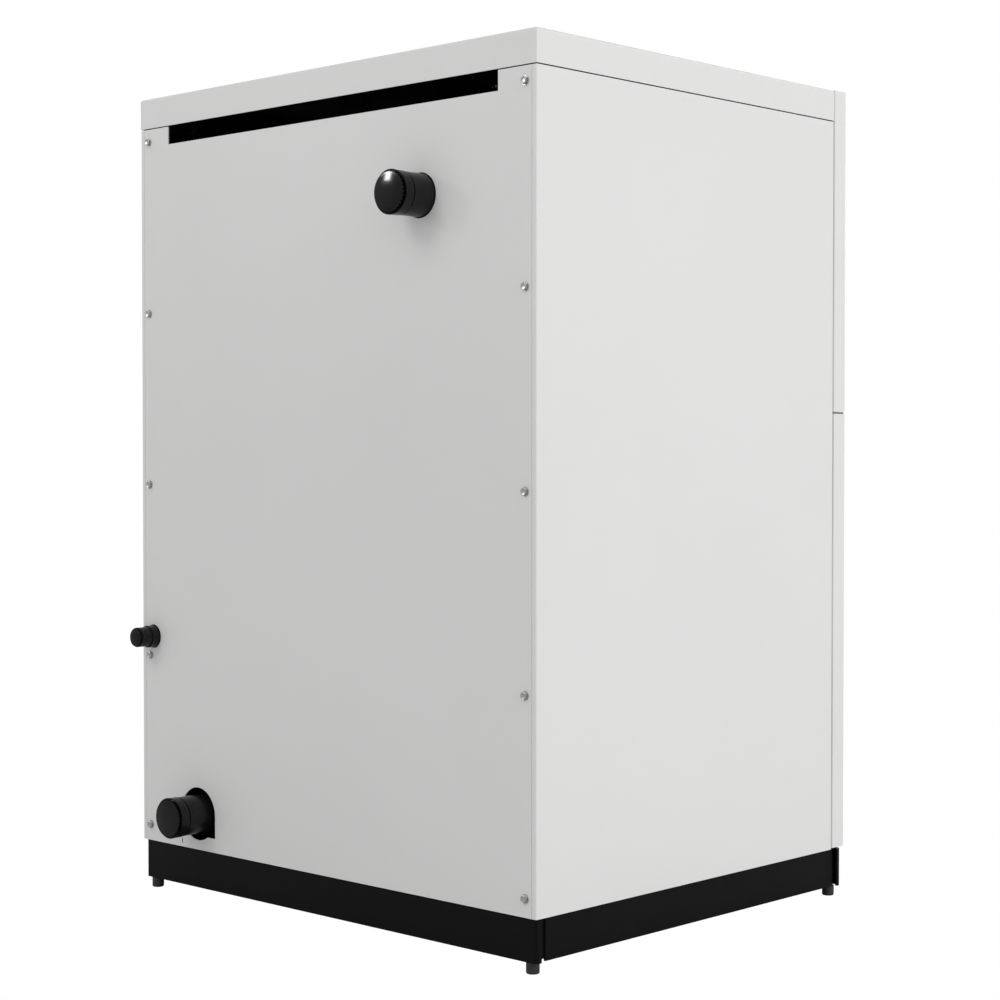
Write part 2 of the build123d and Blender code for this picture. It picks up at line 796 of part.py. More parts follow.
with BuildPart() as gauge_needle:
    needle_y = gauge_floor_y - gauge_wall / 2
    drum_y(gauge_x, needle_y - needle_thickness, needle_y, knob_z, hub_radius)
    slab(
        (gauge_x - needle_thickness, needle_y - needle_thickness, knob_z - hub_radius),
        (gauge_x + needle_thickness, needle_y, knob_z + needle_length),
    )
    needle_bore = needle_thickness + spindle_clearance
    drum_y(gauge_x, needle_y - needle_thickness, needle_y, knob_z, needle_bore, Mode.SUBTRACT)
gauge_needle.part.label = "gauge_needle"
export_step(gauge_needle.part, "parts/gauge_needle.step")

with BuildPart() as gauge_glass:
    glass_y = fascia_y - gauge_bezel
    drum_y(gauge_x, glass_y, glass_y + gauge_glass_thickness, knob_z, gauge_bore - gauge_wall)
gauge_glass.part.label = "gauge_glass"
export_step(gauge_glass.part, "parts/gauge_glass.step")

# Mains switch: a bezelled housing and a rocker that tips on a level pivot
rocker_half = (switch_width / 2 - switch_bezel, switch_height / 2 - switch_bezel)
with BuildPart() as main_switch_housing:
    slab(
        (switch_x - switch_width / 2, fascia_y, knob_z - switch_height / 2),
        (switch_x + switch_width / 2, fascia_y + switch_depth, knob_z + switch_height / 2),
    )
    slab(
        (switch_x - rocker_half[0], fascia_y, knob_z - rocker_half[1]),
        (switch_x + rocker_half[0], fascia_y + switch_depth - switch_bezel, knob_z + rocker_half[1]),
        Mode.SUBTRACT,
    )
main_switch_housing.part.label = "main_switch_housing"
export_step(main_switch_housing.part, "parts/main_switch_housing.step")

rocker_x = rocker_half[0] - rocker_gap
rocker_z = rocker_half[1] - 3 * rocker_gap
rocker_pivot_y = fascia_y + rocker_drop
with BuildPart(mode=Mode.PRIVATE) as level_rocker:
    with BuildSketch(Plane.YZ.offset(switch_x - rocker_x)):
        with BuildLine():
            Polyline(
                (fascia_y - rocker_stand / 3, knob_z),
                (fascia_y - rocker_stand, knob_z + rocker_z),
                (fascia_y + 2 * rocker_stand, knob_z + rocker_z),
                (fascia_y + 3 * rocker_stand, knob_z),
                (fascia_y + 2 * rocker_stand, knob_z - rocker_z),
                (fascia_y - rocker_stand, knob_z - rocker_z),
                close=True,
            )
        make_face()
    extrude(amount=2 * rocker_x)
rocker_axis = Axis((switch_x, rocker_pivot_y, knob_z), (1, 0, 0))
with BuildPart() as main_switch_rocker:
    add(level_rocker.part.rotate(rocker_axis, -rocker_swing))
main_switch_rocker.part.label = "main_switch_rocker"
export_step(main_switch_rocker.part, "parts/main_switch_rocker.step")

# Push buttons: a cap on a plain stem, held by a collar behind the fascia


def button(x, radius):
    """One push button that slides through the fascia."""
    with BuildPart() as push:
        drum_y(x, fascia_y - button_stand, control_y + button_depth, knob_z, radius)
        fillet(push.edges().group_by(Axis.Y)[0], button_collar)
        collar_y = control_y + button_clearance
        drum_y(x, collar_y, collar_y + button_collar, knob_z, radius + button_collar)
    return push


reset_button = button(reset_x, reset_radius)
reset_button.part.label = "reset_button"
export_step(reset_button.part, "parts/reset_button.step")
igniter_button = button(igniter_x, igniter_radius)
igniter_button.part.label = "igniter_button"
export_step(igniter_button.part, "parts/igniter_button.step")

with BuildPart() as indicator_lamps:
    for side in (-1, 1):
        lamp_z = knob_z + side * lamp_spacing / 2
        drum_y(lamp_x, fascia_y - lamp_stand, control_y + button_depth, lamp_z, lamp_radius)
    fillet(indicator_lamps.edges().group_by(Axis.Y)[0], lamp_stand / 2)
indicator_lamps.part.label = "indicator_lamps"
export_step(indicator_lamps.part, "parts/indicator_lamps.step")

# Cable glands in the floor of the control box
gland_z = box_z[0] - gland_height / 2
with BuildPart() as cable_glands:
    for x in gland_xs:
        drum_z(x, gland_y, gland_z, gland_z + gland_height, gland_radius)
        drum_z(x, gland_y, box_z[0] - gland_nut_height, box_z[0], gland_nut_radius)
        drum_z(x, gland_y, gland_z, gland_z + gland_height, gland_bore, Mode.SUBTRACT)
cable_glands.part.label = "cable_glands"
export_step(cable_glands.part, "parts/cable_glands.step")

# Cast-iron block: hollow sections side by side, joined by nipples and drawn up by tie rods
section_count = middle_count + 2
block_half = section_count * section_pitch / 2
block_z = (casing_z + block_bottom, casing_z + block_bottom + block_height)
hub_y = block_y[1] - hub_from_rear
hub_levels = (block_z[0] + lower_hub_rise, block_z[1] - upper_hub_drop)
rib_count = int((block_depth - 2 * rim_depth - rib_spacing) / rib_spacing) + 1
rod_levels = (block_z[0] + rod_low, block_z[0] + rod_high)
rod_ys = (block_y[0] - rod_offset, block_y[1] + rod_offset)


def section(middle_x, waterway, left_open, right_open):
    """One casting between two joint planes; a closed side is the block's outer face."""
    low_x = middle_x - (section_pitch - joint_gap * left_open) / 2
    high_x = middle_x + (section_pitch - joint_gap * right_open) / 2
    wet_low = middle_x - waterway / 2 if left_open else low_x
    wet_high = middle_x + waterway / 2 if right_open else high_x
    with BuildPart() as casting:
        slab((wet_low, block_y[0], block_z[0]), (wet_high, block_y[1], block_z[1]))
        fillet(casting.edges().filter_by(Axis.X), casting_round)
        for y in (block_y[0], block_y[1] - rim_depth):
            slab((low_x, y, block_z[0] + casting_round), (high_x, y + rim_depth, block_z[1] - casting_round))
        for z in hub_levels:
            drum_x(low_x, high_x, hub_y, z, hub_outer)
        rib_x = (max(low_x, wet_low - rib_reach), min(high_x, wet_high + rib_reach))
        rib_height = block_height - 2 * (rib_margin + hub_outer)
        with Locations(((rib_x[0] + rib_x[1]) / 2, (block_y[0] + block_y[1]) / 2, sum(block_z) / 2)):
            with GridLocations(section_pitch, rib_spacing, 1, rib_count):
                Box(rib_x[1] - rib_x[0], rib_width, rib_height)
        slab(
            (wet_low + iron_wall, block_y[0] + rim_depth, block_z[0] + iron_wall),
            (wet_high - iron_wall, block_y[1] - rim_depth, block_z[1] - iron_wall),
            Mode.SUBTRACT,
        )
        bore_low = low_x if left_open else wet_low + iron_wall
        bore_high = high_x if right_open else wet_high - iron_wall
        for z in hub_levels:
            drum_x(bore_low, bore_high, hub_y, z, hub_bore, Mode.SUBTRACT)
    return casting


def rod_lugs(low_x, high_x):
    """Ears on an end section, drilled for the tie rods."""
    for z in rod_levels:
        for y, edge in zip(rod_ys, block_y):
            slab((low_x, edge, z - lug_size / 2), (high_x, y + (y - edge), z + lug_size / 2))
            drum_x(low_x, high_x, y, z, rod_radius, Mode.SUBTRACT)


flow_hub_z = hub_levels[1]
return_hub_z = hub_levels[0]
return_hub_x = block_half - section_pitch / 2
drain_x = return_hub_x
with BuildPart() as block_end_left:
    add(section(-block_half + section_pitch / 2, waterway_width, False, True).part)
    rod_lugs(-block_half, -block_half + lug_size)
    drum_y(flow_x, block_y[1] - rim_depth, block_y[1], flow_hub_z, pipe_radius - pipe_wall, Mode.SUBTRACT)
block_end_left.part.label = "block_end_left"
export_step(block_end_left.part, "parts/block_end_left.step")

with BuildPart() as block_end_right:
    add(section(block_half - section_pitch / 2, waterway_width, True, False).part)
    rod_lugs(block_half - lug_size, block_half)
    hub_mouth = pipe_radius - pipe_wall
    drum_y(return_hub_x, block_y[1] - rim_depth, block_y[1], return_hub_z, hub_mouth, Mode.SUBTRACT)
block_end_right.part.label = "block_end_right"
export_step(block_end_right.part, "parts/block_end_right.step")

middle_section = section(0, waterway_width, True, True)
with BuildPart() as block_middle_sections:
    with GridLocations(section_pitch, section_pitch, middle_count, 1):
        add(middle_section.part)
joints_x = [(i - section_count / 2) * section_pitch for i in range(1, section_count)]
block_middle_sections.part.label = "block_middle_sections"
export_step(block_middle_sections.part, "parts/block_middle_sections.step")

with BuildPart() as block_nipples:
    for x in joints_x:
        for z in hub_levels:
            low_x, high_x = x - nipple_length / 2, x + nipple_length / 2
            drum_x(low_x, high_x, hub_y, z, hub_bore)
            drum_x(low_x, high_x, hub_y, z, hub_bore - nipple_wall, Mode.SUBTRACT)
block_nipples.part.label = "block_nipples"
export_step(block_nipples.part, "parts/block_nipples.step")

with BuildPart() as tie_rods:
    for y in rod_ys:
        for z in rod_levels:
            drum_x(-block_half - rod_end, block_half + rod_end, y, z, rod_radius)
            for face in (-block_half - nut_height, block_half):
                drum_x(face, face + nut_height, y, z, nut_radius)
tie_rods.part.label = "tie_rods"
export_step(tie_rods.part, "parts/tie_rods.step")

# Block insulation: three wool pads, in front of the block and at its two sides
pad_z = (block_z[0] + insulation_rise, block_z[1] - insulation_drop)
front_pad_y = rod_ys[0] - rod_offset - insulation_gap / 2
drain_z = return_hub_z
with BuildPart() as block_insulation:
    slab((-block_half, front_pad_y - insulation, pad_z[0]), (block_half, front_pad_y, pad_z[1]))
    for side in (-1, 1):
        slab(
            (side * block_half, block_y[0] + insulation_gap, pad_z[0]),
            (side * (block_half + insulation), block_y[1] - insulation_gap, pad_z[1]),
        )
    fillet(block_insulation.edges().filter_by(Axis.Z), insulation_gap)
    drum_y(drain_x, front_pad_y - insulation, front_pad_y, drain_z, drain_radius + pad_gap, Mode.SUBTRACT)
block_insulation.part.label = "block_insulation"
export_step(block_insulation.part, "parts/block_insulation.step")

# Combustion chamber: folded plate legs at the sides and the rear that carry the block
chamber_x = block_half - chamber_wall
shield_z = casing_z + shield_level
with BuildPart() as combustion_chamber:
    slab((-block_half, block_y[0], casing_z), (block_half, block_y[1], block_z[0]))
    slab(
        (-chamber_x, block_y[0], casing_z),
        (chamber_x, block_y[1] - chamber_wall, block_z[0]),
        Mode.SUBTRACT,
    )
    slab(
        (-chamber_x, block_y[0], shield_z),
        (chamber_x, block_y[1] - chamber_wall, shield_z + shield_thickness),
    )
    for side in (-1, 1):
        slab(
            (side * block_half, block_y[0], casing_z),
            (side * (block_half + chamber_flange), block_y[1], casing_z + chamber_wall),
        )
combustion_chamber.part.label = "combustion_chamber"
export_step(combustion_chamber.part, "parts/combustion_chamber.step")

# Burner front plate: closes the chamber's front, with a hole for each venturi and a sight hole
burner_z = casing_z + burner_level
burner_xs = joints_x
pilot_z = burner_z + pilot_rise
plate_y = block_y[0] - front_plate
sight_z = burner_z + sight_rise
with BuildPart() as burner_front_plate:
    slab((-block_half, plate_y, shield_z), (block_half, block_y[0], block_z[0] + plate_edge))
    for x in burner_xs:
        drum_y(x, plate_y, block_y[0], burner_z, venturi_radius + venturi_gap, Mode.SUBTRACT)
    drum_y(sight_x, plate_y - front_plate, plate_y, sight_z, sight_radius)
    drum_y(sight_x, plate_y - front_plate, block_y[0], sight_z, sight_radius / 2, Mode.SUBTRACT)
    drum_y(pilot_x, plate_y, block_y[0], pilot_z, pilot_radius + venturi_gap, Mode.SUBTRACT)
burner_front_plate.part.label = "burner_front_plate"
export_step(burner_front_plate.part, "parts/burner_front_plate.step")

# Burner bars: one under each flue way, a stadium tube with cross slots and a venturi in front
bar_y = block_y[0] + front_plate
with BuildPart() as burner_bars:
    for x in burner_xs:
        slab(
            (x - burner_width / 2, bar_y, burner_z - burner_height / 2),
            (x + burner_width / 2, bar_y + burner_length, burner_z + burner_height / 2),
        )
    fillet(burner_bars.edges().filter_by(Axis.Y), burner_round)
    for x in burner_xs:
        drum_y(x, plate_y - venturi_length, bar_y, burner_z, venturi_radius)
        with Locations((x, plate_y - venturi_length + venturi_mouth / 4, burner_z)):
            Cone(venturi_radius, venturi_mouth, venturi_mouth / 2, rotation=(90, 0, 0))
        drum_y(x, plate_y - venturi_length, bar_y, burner_z, venturi_radius - burner_wall, Mode.SUBTRACT)
        slab(
            (x - burner_width / 2 + burner_wall, bar_y + burner_wall, burner_z - burner_round / 2),
            (x + burner_width / 2 - burner_wall, bar_y + burner_length - burner_wall, burner_z + burner_round / 2),
            Mode.SUBTRACT,
        )
    with Locations((0, bar_y + burner_length / 2, burner_z + burner_height / 4)):
        with GridLocations(section_pitch, slot_pitch, len(burner_xs), slot_count):
            Box(2 * burner_round, slot_width, burner_height / 2, mode=Mode.SUBTRACT)
burner_bars.part.label = "burner_bars"
export_step(burner_bars.part, "parts/burner_bars.step")

# Gas valve: a cast body with a regulator tower on top and a knob on its face
manifold_y = plate_y - venturi_length - manifold_from_venturi / 2
valve_y = (manifold_y - valve_depth / 2, manifold_y + valve_depth / 2)
valve_z = (burner_z - valve_height / 2, burner_z + valve_height / 2)
valve_knob_z = burner_z + valve_knob_rise
valve_middle_x = valve_x + valve_width / 2
with BuildPart() as gas_valve:
    slab((valve_x, valve_y[0], valve_z[0]), (valve_x + valve_width, valve_y[1], valve_z[1]))
    fillet(gas_valve.edges().filter_by(Axis.Y), valve_round)
    drum_z(valve_middle_x, manifold_y, valve_z[1], valve_z[1] + tower_height, tower_radius)
    fillet(gas_valve.edges().group_by(Axis.Z)[-1], valve_round / 2)
    drum_y(valve_middle_x, valve_y[0] - shaft_reach, valve_y[0], valve_knob_z, shaft_radius)
gas_valve.part.label = "gas_valve"
export_step(gas_valve.part, "parts/gas_valve.step")

with BuildPart() as gas_valve_knob:
    low_y = valve_y[0] - knob_gap - valve_knob_height
    drum_y(valve_middle_x, low_y, valve_y[0] - knob_gap, valve_knob_z, valve_knob_radius)
    fillet(gas_valve_knob.edges().group_by(Axis.Y)[0], fascia_rim)
    bore_y = valve_y[0] - shaft_reach - seam
    drum_y(valve_middle_x, bore_y, valve_y[0], valve_knob_z, shaft_radius + spindle_clearance, Mode.SUBTRACT)
gas_valve_knob.part.label = "gas_valve_knob"
export_step(gas_valve_knob.part, "parts/gas_valve_knob.step")

# Manifold: a capped tube from the valve, with an injector facing each venturi
manifold_end_x = burner_xs[0] - 2 * manifold_radius
with BuildPart() as gas_manifold:
    drum_x(manifold_end_x, valve_x, manifold_y, burner_z, manifold_radius)
    for x in burner_xs:
        drum_y(x, manifold_y, plate_y - venturi_length - injector_gap, burner_z, injector_radius)
    drum_x(manifold_end_x + pipe_wall, valve_x, manifold_y, burner_z, manifold_bore, Mode.SUBTRACT)
    for x in burner_xs:
        drum_y(x, manifold_y, plate_y - venturi_length - injector_gap, burner_z, injector_bore, Mode.SUBTRACT)
gas_manifold.part.label = "gas_manifold"
export_step(gas_manifold.part, "parts/gas_manifold.step")

# Pilot burner: a tube through the front plate, with the spark electrode and the probe beside it
with BuildPart() as pilot_burner:
    drum_y(pilot_x, plate_y - pilot_length / 2, bar_y + pilot_length, pilot_z, pilot_radius)
    for side in (-1, 1):
        probe_x = pilot_x + side * (pilot_radius + probe_radius + venturi_gap)
        drum_y(probe_x, bar_y, bar_y + pilot_length + probe_offset, pilot_z, probe_radius)
    slab(
        (pilot_x - probe_offset, bar_y + pilot_strap, pilot_z - probe_radius),
        (pilot_x + probe_offset, bar_y + 2 * pilot_strap, pilot_z + probe_radius),
    )
pilot_burner.part.label = "pilot_burner"
export_step(pilot_burner.part, "parts/pilot_burner.step")

# Draught hood: a sheet box on the block, with a baffle and a relief opening at its rear
hood_x = block_half - hood_side_inset
hood_top = lid_top - hood_below_lid
relief_z = (hood_top - relief_drop - relief_height, hood_top - relief_drop)
with BuildPart() as draught_hood:
    slab((-hood_x, block_y[0], block_z[1]), (hood_x, block_y[1], hood_top))
    fillet(draught_hood.edges().filter_by(Axis.Z), casting_round)
    slab(
        (hood_wall - hood_x, block_y[0] + hood_wall, block_z[1]),
        (hood_x - hood_wall, block_y[1] - hood_wall, hood_top - hood_wall),
        Mode.SUBTRACT,
    )
    slab(
        (-relief_width / 2, block_y[1] - hood_wall, relief_z[0]),
        (relief_width / 2, block_y[1], relief_z[1]),
        Mode.SUBTRACT,
    )
    drum_z(0, flue_y, hood_top - hood_wall, hood_top, flue_radius, Mode.SUBTRACT)
    baffle_z = hood_top - baffle_drop
    slab(
        (hood_wall - hood_x, flue_y - baffle_depth / 2, baffle_z),
        (hood_x - hood_wall, flue_y + baffle_depth / 2, baffle_z + hood_wall),
    )
draught_hood.part.label = "draught_hood"
export_step(draught_hood.part, "parts/draught_hood.step")

# Flue collar: the socket that stands through the lid and takes the flue pipe
with BuildPart() as flue_collar:
    drum_z(0, flue_y, hood_top, lid_top + flue_above_lid, flue_collar_radius)
    drum_z(0, flue_y, hood_top, hood_top + hood_wall, flue_collar_radius + 2 * flue_wall + lid_hole_gap)
    drum_z(0, flue_y, hood_top, lid_top + flue_above_lid, flue_radius, Mode.SUBTRACT)
flue_collar.part.label = "flue_collar"
export_step(flue_collar.part, "parts/flue_collar.step")

# Water pipes: bent from the block's rear hubs to the ports, each with a groove and a thread
riser_y = rear_y - riser_from_rear
port_end_y = rear_y + port_reach - cap_rim - cap_dome
port_start_y = port_end_y - thread_length - groove_length
flow_route = [
    (flow_x, block_y[1], flow_hub_z),
    (flow_x, riser_y, flow_hub_z),
    (flow_x, riser_y, casing_z + flow_z),
    (flow_x, port_start_y, casing_z + flow_z),
]
return_route = [
    (return_hub_x, block_y[1], return_hub_z),
    (return_hub_x, riser_y, return_hub_z),
    (return_x, riser_y, return_hub_z),
    (return_x, riser_y, casing_z + return_z),
    (return_x, port_start_y, casing_z + return_z),
]


def water_pipe(route):
    """A bent pipe along a route that ends in a threaded port facing +Y."""
    x, _, z = route[-1]
    with BuildPart() as pipe:
        with BuildLine() as path:
            FilletPolyline(*route, radius=pipe_bend)
        with BuildSketch(Plane(origin=route[0], z_dir=(0, 1, 0))):
            Circle(pipe_radius)
            Circle(pipe_radius - pipe_wall, mode=Mode.SUBTRACT)
        sweep(path=path.line)
        drum_y(x, port_start_y, port_start_y + groove_length, z, groove_radius)
        drum_y(x, port_start_y + groove_length, port_end_y, z, thread_radius)
        drum_y(x, port_start_y, port_end_y, z, pipe_radius - pipe_wall, Mode.SUBTRACT)
    return pipe


flow_pipe = water_pipe(flow_route)
flow_pipe.part.label = "flow_pipe"
export_step(flow_pipe.part, "parts/flow_pipe.step")
return_pipe = water_pipe(return_route)
return_pipe.part.label = "return_pipe"
export_step(return_pipe.part, "parts/return_pipe.step")

# Gas pipe: forward beside the block, down and across to the valve, with a lock nut at its port
gas_end_y = rear_y + gas_reach - gas_cap_rim
gas_route = [
    (gas_x, rear_y + gas_nut_length, casing_z + gas_z),
    (gas_x, manifold_y, casing_z + gas_z),
    (gas_x, manifold_y, burner_z),
    (valve_x + valve_width, manifold_y, burner_z),
]
with BuildPart() as gas_pipe:
    with BuildLine() as gas_path:
        FilletPolyline(*gas_route, radius=gas_bend)
    with BuildSketch(Plane(origin=gas_route[0], z_dir=(0, -1, 0))):
        Circle(gas_thread_radius)
        Circle(gas_bore, mode=Mode.SUBTRACT)
    sweep(path=gas_path.line)
    drum_y(gas_x, rear_y - gas_nut_length, rear_y + gas_nut_length, casing_z + gas_z, gas_nut_radius)
    drum_y(gas_x, rear_y + gas_nut_length, gas_end_y, casing_z + gas_z, gas_thread_radius)
    drum_y(gas_x, rear_y - 2 * gas_nut_length, gas_end_y, casing_z + gas_z, gas_bore, Mode.SUBTRACT)
gas_pipe.part.label = "gas_pipe"
export_step(gas_pipe.part, "parts/gas_pipe.step")

# Caps: moulded transport plugs, each with a stem in the pipe's bore, a rim and a domed face


def port_cap(x, z, seat_y, rim, rim_radius, stem_radius, stem):
    """One cap; its rim stands against the pipe's end at seat_y."""
    with BuildPart() as cap:
        drum_y(x, seat_y - stem, seat_y, z, stem_radius)
        drum_y(x, seat_y, seat_y + rim, z, rim_radius)
        with BuildSketch(Plane.XZ.offset(-seat_y)):
            with Locations((x, z)):
                with PolarLocations(rim_radius, serration_count):
                    Circle(serration_radius)
        extrude(amount=-rim, mode=Mode.SUBTRACT)
    return cap


flow_cap_z = casing_z + flow_z
return_cap_z = casing_z + return_z
stem_radius = pipe_radius - pipe_wall - cap_clearance
dome_edge_radius = cap_radius - 2 * serration_radius
dome_radius = (dome_edge_radius**2 + cap_dome**2) / (2 * cap_dome)
dome_rise = (dome_radius**2 - dome_edge_radius**2 / 4) ** 0.5 - dome_radius + cap_dome
gas_cap_z = casing_z + gas_z
gas_stem_radius = gas_bore - cap_clearance
caps = {
    "flow_cap": (flow_x, flow_cap_z, port_end_y, cap_rim, cap_radius, stem_radius, cap_stem),
    "return_cap": (return_x, return_cap_z, port_end_y, cap_rim, cap_radius, stem_radius, cap_stem),
    "gas_cap": (gas_x, gas_cap_z, gas_end_y, gas_cap_rim, gas_cap_radius, gas_stem_radius, gas_cap_stem),
}
for name, sizes in caps.items():
    cap = port_cap(*sizes)
    if name != "gas_cap":
        with BuildPart() as domed_cap:
            add(cap.part)
            dome_y = sizes[2] + cap_rim
            with BuildSketch(Plane.XY.offset(sizes[1])):
                with BuildLine():
                    dome_edge = (sizes[0] + dome_edge_radius, dome_y)
                    dome_middle = (sizes[0] + dome_edge_radius / 2, dome_y + dome_rise)
                    dome_top = (sizes[0], dome_y + cap_dome)
                    Line((sizes[0], dome_y), dome_edge)
                    ThreePointArc(dome_edge, dome_middle, dome_top)
                    Line(dome_top, (sizes[0], dome_y))
                make_face()
            revolve(axis=Axis((sizes[0], dome_y, sizes[1]), (0, 1, 0)))
        cap = domed_cap
    cap.part.label = name
    export_step(cap.part, f"parts/{name}.step")

# Drain cock: a body on the block's front, with a hose tail turned down and a quarter-turn lever
drain_y = block_y[0] - drain_length
tail_y = drain_y + drain_hose_radius + tail_setback
with BuildPart() as drain_cock:
    drum_y(drain_x, drain_y, block_y[0], drain_z, drain_radius)
    drum_z(drain_x, tail_y, drain_z - drain_hose_length, drain_z, drain_hose_radius)
    drum_z(drain_x, tail_y, drain_z - drain_hose_length, drain_z, drain_bore, Mode.SUBTRACT)
    drum_y(drain_x, drain_y - lever_hub_height, drain_y, drain_z, shaft_radius)
drain_cock.part.label = "drain_cock"
export_step(drain_cock.part, "parts/drain_cock.step")

with BuildPart() as drain_lever:
    hub_front_y = drain_y - lever_hub_height - lever_thickness
    drum_y(drain_x, hub_front_y, drain_y - seam, drain_z, lever_hub_radius)
    slab(
        (drain_x - lever_width / 2, hub_front_y, drain_z),
        (drain_x + lever_width / 2, hub_front_y + lever_thickness, drain_z + lever_length),
    )
    fillet(drain_lever.edges().group_by(Axis.Z)[-1].filter_by(Axis.Y), lever_width / 3)
    lever_bore = shaft_radius + spindle_clearance
    drum_y(drain_x, drain_y - lever_hub_height - seam, drain_y, drain_z, lever_bore, Mode.SUBTRACT)
drain_lever.part.label = "drain_lever"
export_step(drain_lever.part, "parts/drain_lever.step")

# Leads: from the left gland to the valve, and from the right gland to the pilot burner
valve_lead_x = valve_x + valve_width / 4
lead_routes = (
    [
        (gland_xs[0], gland_y, gland_z),
        (gland_xs[0], gland_y, pilot_z),
        (gland_xs[0], plate_y - pilot_length / 2, pilot_z),
    ],
    [
        (gland_xs[1], gland_y, gland_z),
        (gland_xs[1], gland_y, gland_z - 3 * lead_bend),
        (valve_lead_x, gland_y, gland_z - 8 * lead_bend),
        (valve_lead_x, gland_y, valve_z[1]),
    ],
)
with BuildPart() as control_leads:
    for route in lead_routes:
        with BuildLine() as lead_path:
            FilletPolyline(*route, radius=lead_bend)
        with BuildSketch(Plane(origin=route[0], z_dir=(0, 0, -1))):
            Circle(lead_radius)
        sweep(path=lead_path.line)
control_leads.part.label = "control_leads"
export_step(control_leads.part, "parts/control_leads.step")

# Capillaries: from the thermostat and the thermometer through the box's rear to the phials
phial_y = block_y[0] - phial_radius
with BuildPart() as capillary_tubes:
    for x in (knob_x, gauge_x):
        drum_z(x, phial_y, block_z[1] - phial_length, block_z[1], phial_radius)
        with BuildLine() as capillary_path:
            FilletPolyline(
                (x, phial_y, block_z[1]),
                (x, phial_y, box_z[0] + 2 * capillary_bend),
                (x, box_rear_y, box_z[0] + 2 * capillary_bend),
                radius=capillary_bend / 4,
            )
        with BuildSketch(Plane(origin=(x, phial_y, block_z[1]), z_dir=(0, 0, 1))):
            Circle(capillary_radius)
        sweep(path=capillary_path.line)
capillary_tubes.part.label = "capillary_tubes"
export_step(capillary_tubes.part, "parts/capillary_tubes.step")
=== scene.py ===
import math

import bpy
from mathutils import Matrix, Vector


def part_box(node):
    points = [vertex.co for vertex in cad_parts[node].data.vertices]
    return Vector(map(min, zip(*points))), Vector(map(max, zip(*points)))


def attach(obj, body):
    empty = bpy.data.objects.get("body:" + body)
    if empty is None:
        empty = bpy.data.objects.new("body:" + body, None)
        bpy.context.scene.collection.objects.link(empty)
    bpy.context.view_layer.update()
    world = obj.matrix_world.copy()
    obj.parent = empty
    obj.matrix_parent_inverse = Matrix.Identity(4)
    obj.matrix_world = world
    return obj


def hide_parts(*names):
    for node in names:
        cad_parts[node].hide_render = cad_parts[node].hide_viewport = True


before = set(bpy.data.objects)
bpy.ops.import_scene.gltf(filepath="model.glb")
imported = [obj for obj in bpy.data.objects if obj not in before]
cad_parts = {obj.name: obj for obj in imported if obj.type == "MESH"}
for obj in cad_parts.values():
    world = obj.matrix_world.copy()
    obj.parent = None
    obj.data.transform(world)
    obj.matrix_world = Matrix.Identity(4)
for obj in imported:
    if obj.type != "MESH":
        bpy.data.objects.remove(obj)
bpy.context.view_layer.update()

# The camera stands behind the boiler, off its rear corner and at about half its height, and
# looks a little down. It is placed as the photograph was taken.
CAMERA_PLACE = (-1.5597, 1.6067, 0.4747)
CAMERA_TURN = (88.6334, 0.0, -136.484)
LENS, SENSOR = 75.61, 36.0
bpy.ops.object.select_all(action="DESELECT")
bpy.ops.object.camera_add(location=CAMERA_PLACE, rotation=[math.radians(a) for a in CAMERA_TURN])
camera = bpy.context.object
camera.name = "studio_camera"
camera.data.lens = LENS
camera.data.sensor_width = SENSOR
bpy.context.scene.camera = camera
bpy.context.scene.view_settings.view_transform = "Standard"

# The studio floor is a wide sheet. It is plain white where the camera looks at it, because the
# photograph shows no shadow, and a pale grey that throws light back to everything else.
FLOOR_ACROSS, FLOOR_DROP = 24, 0.0002
FLOOR_GREY, FLOOR_ROUGHNESS = 0.62, 0.9


def pale_stage_material():
    """White to the camera's own rays, and a matt grey to all others."""
    stage = bpy.data.materials.new("studio_floor")
    stage.use_nodes = True
    nodes, links = stage.node_tree.nodes, stage.node_tree.links
    shader = nodes["Principled BSDF"]
    shader.inputs["Base Color"].default_value = (FLOOR_GREY, FLOOR_GREY, FLOOR_GREY, 1)
    shader.inputs["Roughness"].default_value = FLOOR_ROUGHNESS
    glow = nodes.new("ShaderNodeEmission")
    glow.inputs["Strength"].default_value = 1.0
    path = nodes.new("ShaderNodeLightPath")
    mix = nodes.new("ShaderNodeMixShader")
    links.new(path.outputs["Is Camera Ray"], mix.inputs["Fac"])
    links.new(shader.outputs[0], mix.inputs[1])
    links.new(glow.outputs[0], mix.inputs[2])
    links.new(mix.outputs[0], nodes["Material Output"].inputs["Surface"])
    return stage


bpy.ops.mesh.primitive_plane_add(size=FLOOR_ACROSS, location=(0, 0, -FLOOR_DROP))
floor = bpy.context.object
floor.name = "studio_floor"
floor.data.materials.append(pale_stage_material())

# The light is a white sky, dimmer to the object than to the camera, with three soft lamps: one
# fills the side that the camera sees, a weaker one the rear, and one stands in front for the
# doors. A small fourth lamp only shows as the glint on the upper cap.
SKY_LEVEL = 0.62
world = bpy.data.worlds.new("studio_sky")
bpy.context.scene.world = world
world.use_nodes = True
sky_nodes, sky_links = world.node_tree.nodes, world.node_tree.links
sky = sky_nodes["Background"]
sky.inputs["Color"].default_value = (1, 1, 1, 1)
sky_path = sky_nodes.new("ShaderNodeLightPath")
sky_level = sky_nodes.new("ShaderNodeMapRange")
sky_level.inputs["To Min"].default_value = SKY_LEVEL
sky_level.inputs["To Max"].default_value = 1.0
sky_links.new(sky_path.outputs["Is Camera Ray"], sky_level.inputs["Value"])
sky_links.new(sky_level.outputs[0], sky.inputs["Strength"])

